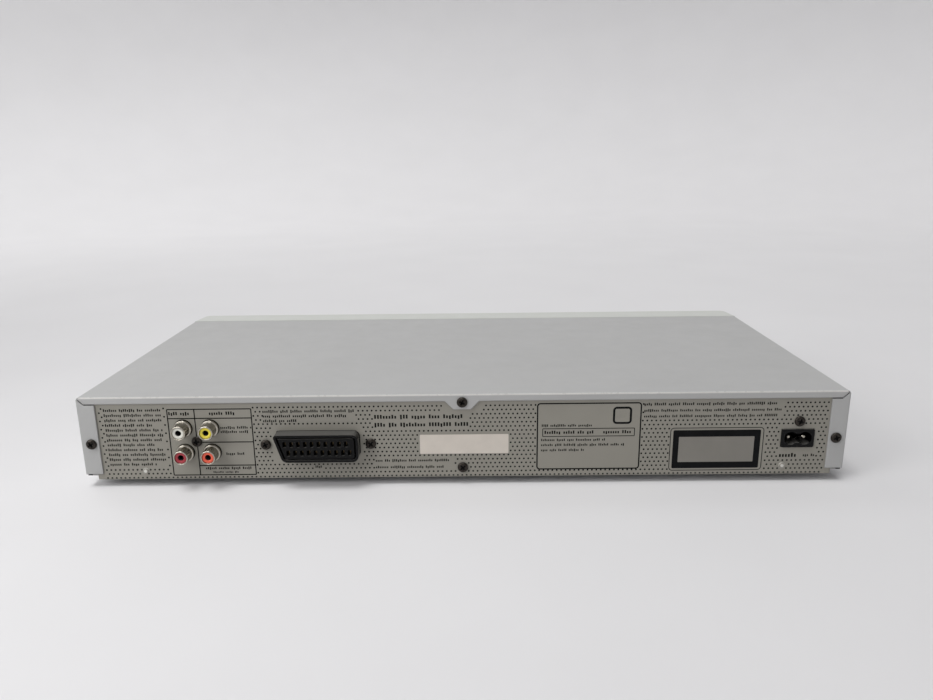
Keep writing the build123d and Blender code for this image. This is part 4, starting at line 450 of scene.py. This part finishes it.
def screw_shape(turn, head=3.0, rise=1.6, shank=1.47, length=6.9, around=96, rings=26):
    """A domed screw along +Y, its seat at 0, as points, faces and how much painted shade each point gets
    from its depth in the recess. The head is a flattened dome, less the cross recess: the deeper of two
    crossed pairs of wings."""
    r = np.linspace(head - 0.06, 0.08, rings)[:, None]
    angle = (np.arange(around) * 2 * math.pi / around)[None]
    dome = RIM_HEIGHT + (rise - RIM_HEIGHT) * np.clip(1 - (r / head) ** 3.2, 0, 1) ** 0.6
    x, z = r * np.cos(angle - turn), r * np.sin(angle - turn)
    depth = np.maximum(wing(x, z), wing(z, x))
    height = dome - depth
    top = np.stack([r * np.sin(angle), height, r * np.cos(angle)], -1)
    under = np.array([(shank * 0.4, -length), (shank, -length + 0.9), (shank, -0.02), (shank, 0.0),
                      (head - 0.2, 0.0), (head, 0.12), (head, 0.45)])
    low = np.stack([under[:, :1] * np.sin(angle), np.broadcast_to(under[:, 1:], (len(under), around)),
                    under[:, :1] * np.cos(angle)], -1)
    n = len(under) + rings
    last = (n - 1) * around
    points = np.vstack([np.concatenate([low, top]).reshape(-1, 3), [[0, -length, 0]],
                        [[0, height[-1].mean(), 0]]])
    i, k = np.arange(n - 1)[:, None] * around, np.arange(around)
    after = (k + 1) % around
    quads = np.stack([i + k, i + after, i + around + after, i + around + k], -1).reshape(-1, 4)
    tip = np.stack([after, k, np.full(around, n * around)], -1)
    middle = np.stack([k + last, after + last, np.full(around, n * around + 1)], -1)
    # How much painted shade each point gets, from its depth in the recess
    inside = np.clip(depth / FULL_SHADE_DEPTH, 0, 1).ravel()
    recess_shade = np.concatenate([np.zeros(len(under) * around), inside, [0.0, 1.0]])
    return points, [quads, tip, middle], recess_shade


def screws(name, spots, turns):
    """All screws of one kind as one piece, with painted shade in the recesses: a per-point attribute that is
    1 there darkens them.
    """
    made = [screw_shape(turn) for turn in turns]
    points, faces = together(*[(shape[0] + spot, shape[1]) for spot, shape in zip(spots, made)])
    heads = piece(name + "_heads", points, faces, "player", "dark_screw", SCREW_HEAD, True, (name,))
    recess_shade = heads.data.attributes.new("recess_shade", "FLOAT", "POINT")
    recess_shade.data.foreach_set("value", np.concatenate([shape[2] for shape in made]))


screws("cover_screws", on_rear(COVER_SCREWS, Y_REAR), COVER_SCREW_TURNS)
screws("panel_screws", on_rear(PANEL_SCREWS), PANEL_SCREW_TURNS)

# Phono jacks: profiles as (radius, distance out from the panel)
JACKS = {"white": (157.0, 18.8), "red": (157.0, 33.3), "yellow": (141.8, 18.8), "orange": (141.8, 33.3)}
TIP = 9.0
BARREL = [(3.3, -0.8), (5.0, -0.8), (5.0, 1.85), (4.88, 2.1), (4.6, 2.2), (4.28, 2.2), (4.15, 2.32),
          (4.15, TIP - 0.45), (4.05, TIP - 0.15), (3.8, TIP), (3.52, TIP), (3.36, TIP - 0.1),
          (3.3, TIP - 0.28)]
INSERT = [(0.0, -0.8), (3.27, -0.8), (3.27, TIP - 0.85), (3.16, TIP - 0.66), (2.9, TIP - 0.6),
          (2.05, TIP - 0.62), (1.78, TIP - 0.72), (1.65, TIP - 0.95), (1.65, 0.2), (0.0, 0.2)]
SLEEVE = [(0.0, 0.35), (1.5, 0.35), (1.5, TIP - 1.1), (1.62, TIP - 1.1), (1.62, 0.22), (0.0, 0.22)]
jack_spots = on_rear(JACKS.values())
turned("jack_barrels", BARREL, "Y", 96, jack_spots, "nickel", MATERIALS["nickel"], ("jack_shells",))
for colour, place in JACKS.items():
    plastic = colour + "_plastic"
    turned("insert_" + colour, INSERT, "Y", 72, on_rear([place]), plastic, MATERIALS[plastic],
           ("jack_insert_" + colour,))
turned("jack_sleeves", SLEEVE, "Y", 48, jack_spots, "black_plastic", MATERIALS["black_plastic"])

# Two bright studs pressed into the panel, places as (x, drop), profile as (radius, distance out)
STUDS = [(-181.0, 44.4), (181.0, 44.4)]
STUD_DOME = [(0.0, 0.82), (0.5, 0.8), (1.05, 0.68), (1.45, 0.42), (1.62, 0.1), (1.78, 0.03), (1.78, -0.2),
             (0.0, -0.2)]
turned("panel_studs", STUD_DOME, "Y", 48, on_rear(STUDS), "nickel", STUD)

# Feet: profile as (radius, height)
FOOT_RADIUS = 12
FOOT = [(0.0, 4.5), (11.95, 4.5), (11.95, 4.35), (10.65, 0.8), (10.3, 0.25), (9.6, 0.0), (5.9, 0.0),
        (5.3, 0.05), (5.0, 0.4), (5.0, 2.35), (4.85, 2.5), (0.0, 2.5)]
feet_low, feet_high = box_mm("feet")
feet_spots = [(x, y, 0) for x in (feet_low[0] + FOOT_RADIUS, feet_high[0] - FOOT_RADIUS)
              for y in (feet_low[1] + FOOT_RADIUS, feet_high[1] - FOOT_RADIUS)]
turned("rubber_feet", FOOT, "Z", 96, feet_spots, "rubber", MATERIALS["rubber"], ("feet",))

# A painted highlight along the cover's rear fold: a lighter strip that stands for the light the rounded
# fold catches. It is an angle profile of (y, z) from the fold, carried along X and closed at both ends. Its
# two legs lie on the top and on the rear face.
COVER_BEND = 1.6
ANGLE = np.array([(-0.5, -0.02), (-0.5, 0.02), (0.02, 0.02), (0.02, -0.75), (-0.02, -0.75), (-0.02, -0.02)])
ends = np.array([-HALF + COVER_BEND, HALF - COVER_BEND])
corners = len(ANGLE)
edge_y, edge_z = np.tile(Y_REAR + ANGLE[:, 0], 2), np.tile(Z_TOP + ANGLE[:, 1], 2)
edge = np.stack([np.repeat(ends, corners), edge_y, edge_z], -1)
i = np.arange(corners)
after = (i + 1) % corners
walls = [np.stack([i + corners, after + corners, after, i], -1), i[None], (i + corners)[::-1][None]]
piece("cover_fold_edge", edge, walls, "player", "cover_paint", FOLD_HIGHLIGHT)

# Prints on the rear panel. An extent is (left, right, top, bottom), with top and bottom as drops.
INK_LOW, INK_HIGH = Y_PANEL - 0.02, Y_PANEL + 0.03


def printed(name, *shapes, ink=INK_AND_SHADE):
    """Flat shapes on the panel as one piece: print, and the painted shade behind the mitre gaps."""
    piece(name, *together(*shapes), "player", "panel_paint", ink)


def rear_rects(extents):
    """Extents on the rear side as rectangles (x0, x1, z0, z1)."""
    e = np.asarray(extents, float).reshape(-1, 4)
    x0, x1 = np.minimum(e[:, 0], e[:, 1]), np.maximum(e[:, 0], e[:, 1])
    return np.stack([x0, x1, Z_TOP - e[:, 3], Z_TOP - e[:, 2]], -1)


def frame_line(extent, radius, line, steps=8):
    """A printed line along a rounded rectangle."""
    return ring_plate(*rear_rects(extent)[0], radius, line, INK_LOW, INK_HIGH, steps)


def patch(extent, radius, steps, y_high=INK_HIGH):
    """A printed rounded rectangle."""
    return prism(rounded_outline(*rear_rects(extent)[0], radius, steps), INK_LOW, y_high)


# The dots leave out these extents, a circle around each panel screw and each stud, and the panel's margin
BARE = {
    "words at the left": (201.7, 167.4, 6.6, 42.2),
    "jack table": (165.6, 117.7, 7.2, 47.6),
    "words over the 21-way socket": (111.6, 60.1, 8.1, 16.4),
    "21-way socket": (107.2, 56.5, 19.3, 38.9),
    "word under the 21-way socket": (83.8, 79.9, 41.9, 43.9),
    "large words in the middle": (49.3, -3.4, 11.0, 20.0),
    "sticker": (24.1, -25.9, 24.0, 35.5),
    "small words in the middle": (49.4, 5.0, 38.5, 45.0),
    "cover's tab": (10.8, -10.6, 0, 9.8),
    "rating box": (-41.7, -100.2, 5.8, 45.8),
    "words at the right": (-102.1, -179.1, 5.6, 15.6),
    "label": (-116.6, -169.7, 21.0, 47.4),
    "mains inlet": (-178.0, -199.0, 21.4, 34.4),
    "words under the mains inlet": (-178.3, -198.9, 36.2, 40.3),
}
BARE_EDGE = 0.3
SCREW_CLEAR, STUD_CLEAR = 3.5, 2.3
DOT_RADIUS, DOT_PITCH, DOT_ROW = 0.55, 2.505, 2.455
DOT_START = (1.7, 2.0)
DOT_REACH, DOT_DROPS = 204.3, (5.4, 48.7)
column, row = np.meshgrid(np.arange(-84, 85), np.arange(0, 20))
dot_x = (DOT_START[0] + DOT_PITCH * column + DOT_PITCH / 2 * (row % 2)).ravel()
dot_drop = (DOT_START[1] + DOT_ROW * row).ravel()
keep = (np.abs(dot_x) < DOT_REACH) & (dot_drop > DOT_DROPS[0]) & (dot_drop < DOT_DROPS[1])
for left, right, top, bottom in BARE.values():
    within = (dot_x < left + BARE_EDGE) & (dot_x > right - BARE_EDGE)
    keep &= ~(within & (dot_drop > top - BARE_EDGE) & (dot_drop < bottom + BARE_EDGE))
for places, clear in ((PANEL_SCREWS, SCREW_CLEAR), (STUDS, STUD_CLEAR)):
    for x, drop in places:
        keep &= np.hypot(dot_x - x, dot_drop - drop) >= clear
eighths = np.arange(8) * math.pi / 4 + math.pi / 8
octagon = DOT_RADIUS * np.column_stack([np.cos(-eighths), np.sin(-eighths)])
dot_spots = np.column_stack([dot_x, np.zeros(len(dot_x)), Z_TOP - dot_drop])[keep]
printed("panel_dots", repeat(*prism(octagon, INK_LOW, INK_HIGH), dot_spots))

# Frames and labels
LINE, FINE_LINE = 0.62, 0.42


def across(left, right, drop):
    """The extent of a line along X."""
    return left, right, drop - LINE / 2, drop + LINE / 2


def down(x, top, bottom):
    """The extent of an upright line."""
    return x + LINE / 2, x - LINE / 2, top, bottom


table_rules = [down(150.0, 7.8, 47.0), across(165.0, 118.3, 13.0), across(149.8, 118.3, 27.3),
               across(149.8, 118.3, 41.4)]
printed("jack_table", frame_line((165.2, 118.1, 7.6, 47.2), 0.3, LINE, 3),
        bars(rear_rects(table_rules), INK_LOW, INK_HIGH - 0.005))
printed("rating_frames", frame_line((-42.1, -99.8, 6.2, 45.4), 1.6, 0.75),
        frame_line((-84.8, -94.2, 9.0, 18.0), 1.6, 1.2),
        frame_line((-45.1, -96.6, 21.1, 25.7), 0.2, FINE_LINE, 3))
printed("label_frame", frame_line((-117.0, -169.2, 21.4, 46.9), 2.0, FINE_LINE),
        patch((-118.5, -167.6, 22.7, 45.7), 0.7, 4))
printed("label_blank", patch((-121.8, -164.2, 26.7, 41.9), 0.2, 3, y_high=INK_HIGH + 0.02), ink=PALE_INK)
printed("blank_sticker", patch((24.1, -25.9, 24.0, 35.5), 0.5, 5, y_high=Y_PANEL + 0.09), ink=STICKER)


def word_bars(lines, seed):
    """Extents of blank strokes in the place of print. A line (left, right, drop, height) has strokes 0.7 of
    its height apart and 0.44 wide, with a gap after each 3 to 9 of them. By chance some reach further up
    or down."""
    rng = np.random.default_rng(seed)
    rects = []
    for left, right, drop, height in lines:
        start = left - np.arange(0, left - right, 0.7 * height)
        gaps = np.cumsum(rng.integers(4, 11, len(start))) - 1
        start = start[~np.isin(np.arange(len(start)), gaps)]
        top = drop - height * np.where(rng.random(len(start)) > 0.6, 0.6, 0.32)
        low = drop + height * np.where(rng.random(len(start)) > 0.85, 0.6, 0.4)
        rects.append(np.column_stack([start, start - 0.44 * height, top, low]))
    return np.vstack(rects)


# Lines of strokes, each (left, right, drop, height)
WORD_LINES = [
    # At the left, twelve in one block, every fourth of them shorter
    *[(200.9, 169.0 + 6 * (k % 4 == 3), 8.0 + 2.95 * k, 1.6) for k in range(12)],
    # In the jack table
    (164.5, 151.6, 10.2, 1.9), (141.7, 127.7, 10.2, 1.9), (136.1, 119.2, 18.7, 1.5),
    (136.1, 120.7, 21.2, 1.5), (134.1, 124.1, 34.5, 1.5), (146.5, 120.6, 43.2, 1.5),
    (142.5, 128.6, 45.6, 1.1),
    # Over and under the 21-way socket
    (111.7, 60.9, 9.4, 1.6), (111.7, 64.9, 12.2, 1.6), (111.7, 92.8, 15.0, 1.6), (84.0, 80.3, 42.9, 1.4),
    # Small ones in the middle
    (49.5, 6.8, 39.5, 1.5), (49.5, 10.8, 43.5, 1.5),
    # At the right, and under the mains inlet
    (-101.5, -175.2, 7.2, 1.6), (-101.6, -178.2, 10.9, 1.5), (-101.6, -175.8, 14.3, 1.5),
    (-179.0, -189.4, 38.4, 2.4), (-192.4, -198.4, 38.4, 1.6),
    # In the rating box
    (-44.3, -80.5, 27.9, 1.4), (-44.3, -90.5, 30.9, 1.4), (-44.3, -68.4, 34.0, 1.4),
    (-46.1, -73.5, 23.4, 1.9), (-79.1, -95.5, 23.4, 1.9), (-44.5, -72.0, 19.3, 1.4),
    # Large ones in the middle
    (49.3, -0.5, 13.3, 2.3), (49.3, -3.1, 18.0, 2.3),
]
WORD_SEED = 5
strokes = rear_rects(word_bars(WORD_LINES, WORD_SEED))
printed("print_bars", bars(strokes, INK_LOW, INK_HIGH - 0.01), ink=INK_SOFT)

# Painted shade: dark plates on the panel's corners behind the cover's mitre gaps, and on the rear ends of
# the cover's side hems, standing for the shade inside them
GAP_TOP, GAP_LOW = Z_TOP - 3.7, Z_TOP - 5.0
GAP_OUTER, GAP_INNER = HALF - COVER_SHEET, HALF - 9.6
gap_outline = [(GAP_OUTER, Z_TOP - 1.8), (HALF - 3.8, GAP_LOW), (GAP_INNER, GAP_LOW), (GAP_INNER, GAP_TOP),
               (HALF - 3.9, GAP_TOP), (GAP_OUTER, Z_TOP - 0.9)]
gap_shade = prism(gap_outline, INK_LOW, INK_HIGH)
printed("mitre_dark", gap_shade, flipped(gap_shade, 0))
HEM_SET_BACK = 2.0
Y_HEM = Y_REAR - HEM_SET_BACK
hem_shade = bars([(HALF - 2.6, HALF - 0.1, Z_HEM + 0.1, Z_HEM + 1.55)], Y_HEM - 0.02, Y_HEM + 0.03)
piece("hem_ends", *together(hem_shade, flipped(hem_shade, 0)), "player", "cover_paint", INK_AND_SHADE)

# Marks on the keys at the front
KEY_Y = box_mm("play_key")[0][1]
MARK_LOW, MARK_HIGH = KEY_Y - 0.03, KEY_Y + 0.02


def mark(key, *shapes):
    """The mark of a key, from shapes drawn about x = 0, z = 0. It rides on the key's own body."""
    low, high = box_mm(key)
    points, faces = together(*shapes)
    points = points + (low + high) / 2 * np.array([1, 0, 1])
    piece("mark_" + key.removesuffix("_key"), points, faces, key, "key_plastic", KEY_INK)


def triangle(x, width, height):
    """A triangle that points to +X, clockwise seen from the front so that it closes outwards."""
    outline = [(x - width / 2, -height / 2), (x - width / 2, height / 2), (x + width / 2, 0)]
    return prism(outline, MARK_LOW, MARK_HIGH)


def bar(x0, x1, z0, z1):
    """A bar of a key's mark."""
    return bars([(x0, x1, z0, z1)], MARK_LOW, MARK_HIGH)


skip = together(triangle(-1.5, 1.8, 2.6), triangle(0.4, 1.8, 2.6), bar(1.4, 1.9, -1.3, 1.3))
mark("play_key", triangle(0, 3.0, 3.0))
mark("stop_key", bar(-1.3, 1.3, -1.3, 1.3))
mark("skip_forward_key", skip)
mark("skip_back_key", flipped(skip, 0))
mark("open_close_key", prism([(-1.5, -0.3), (0, 1.5), (1.5, -0.3)], MARK_LOW, MARK_HIGH),
     bar(-1.5, 1.5, -1.3, -0.8))

# World: a weak sky lights the player, while the camera, reflections and clear plastic see a pale backdrop
SKY_COLOUR, SKY_STRENGTH = (0.96, 0.98, 1.0, 1.0), 0.18
BACKDROP_COLOUR = linear(214, 212, 212)
world = bpy.context.scene.world or bpy.data.worlds.new("World")
bpy.context.scene.world = world
world.use_nodes = True
nodes, link = world.node_tree.nodes, world.node_tree.links.new
sky = nodes["Background"]
sky.inputs["Color"].default_value = SKY_COLOUR
sky.inputs["Strength"].default_value = SKY_STRENGTH
seen = nodes.new("ShaderNodeBackground")
seen.inputs["Color"].default_value = BACKDROP_COLOUR
path = nodes.new("ShaderNodeLightPath")
straight = path.outputs["Is Camera Ray"]
for ray in ("Is Glossy Ray", "Is Transmission Ray"):
    either = nodes.new("ShaderNodeMath")
    either.operation = "MAXIMUM"
    link(straight, either.inputs[0])
    link(path.outputs[ray], either.inputs[1])
    straight = either.outputs[0]
blend = nodes.new("ShaderNodeMixShader")
link(straight, blend.inputs["Fac"])
link(sky.outputs[0], blend.inputs[1])
link(seen.outputs[0], blend.inputs[2])
link(blend.outputs[0], nodes["World Output"].inputs["Surface"])

# Lamps


def lamp(name, kind, place, aim, energy, size, spread=180):
    """A lamp at place, turned towards aim, both in metres. A sun's size is its angle and an area lamp's its
    width. spread is how wide an area lamp throws, in degrees."""
    data = bpy.data.lights.new(name, kind)
    data.energy = energy
    if kind == "AREA":
        data.shape = "DISK"
        data.size = size
        data.spread = math.radians(spread)
    else:
        data.angle = size
    made = bpy.data.objects.new(name, data)
    made.location = place
    direction = np.array(aim, float) - np.array(place, float)
    made.rotation_mode = "QUATERNION"
    made.rotation_quaternion = Vector(direction).to_track_quat("-Z", "Y")
    bpy.context.scene.collection.objects.link(made)


lamp("overhead", "SUN", (0.16, 0.16, 1.0), (0, 0, 0), 1.6, math.radians(28))
lamp("side", "AREA", (0.6, 0.5, 0.45), (0, 0.1, 0), 0.8, 0.5, 90)
lamp("backdrop", "AREA", (1.2, -1.0, 1.7), (0.3, -2.3, 0.5), 11.0, 1.5)
lamp("backdrop_front", "AREA", (0.7, 1.0, 1.7), (0.3, 2.3, 0.7), 2.5, 1.5, 110)

# Floor: a wide shallow bowl, turned from a profile that is flat, then a quarter circle, then a low wall
FLOOR_FLAT, FLOOR_BEND, FLOOR_WALL = 1430, 900, 1700.0
bend = np.linspace(0, math.pi / 2, 24)
curve = np.column_stack([FLOOR_FLAT + FLOOR_BEND * np.sin(bend), FLOOR_BEND - FLOOR_BEND * np.cos(bend)])
sweep = np.concatenate([[(0.0, 0.0), (700.0, 0.0), (1400.0, 0.0)], curve,
                        [(FLOOR_FLAT + FLOOR_BEND, FLOOR_WALL)]])
points, faces = lathe(sweep, "Z", 96)
floor_mesh = bpy.data.meshes.new("floor")
floor_mesh.from_pydata((points * MM).tolist(), [], [f[::-1] for group in faces for f in group.tolist()])
floor_mesh.polygons.foreach_set("use_smooth", np.ones(len(floor_mesh.polygons), bool))
floor_finish = finish("floor", (222, 221, 222), 0.8, mottle=0.012, mottle_size=120, specular=0.2)
floor_mesh.materials.append(floor_finish)
floor = bpy.data.objects.new("floor", floor_mesh)
bpy.context.scene.collection.objects.link(floor)

# The camera stands behind the player, a little above it, and looks along -Y, 15 degrees down
YAW, PITCH, ROLL = math.radians(0.397), math.radians(14.939), math.radians(-0.668)
EYE = np.array([-5.61, Y_REAR + 403.8, Z_TOP + 133.1]) * MM
SENSOR_WIDTH, LENS = 36.0, 29.58
heading = np.array([[math.cos(YAW), -math.sin(YAW), 0], [math.sin(YAW), math.cos(YAW), 0], [0, 0, 1]])
ahead = heading @ np.array([0, -1.0, 0])
right = heading @ np.array([-1.0, 0, 0])
up = np.array([0, 0, 1.0])
ahead, up = ahead * math.cos(PITCH) - up * math.sin(PITCH), ahead * math.sin(PITCH) + up * math.cos(PITCH)
right, up = right * math.cos(ROLL) + up * math.sin(ROLL), -right * math.sin(ROLL) + up * math.cos(ROLL)
camera_data = bpy.data.cameras.new("camera")
camera_data.sensor_width = SENSOR_WIDTH
camera_data.lens = LENS
camera_data.clip_start = 0.01
camera = bpy.data.objects.new("camera", camera_data)
camera.matrix_world = Matrix([[right[k], up[k], -ahead[k], EYE[k]] for k in range(3)] + [[0, 0, 0, 1]])
bpy.context.scene.collection.objects.link(camera)
bpy.context.scene.camera = camera
bpy.context.scene.view_settings.view_transform = "Standard"
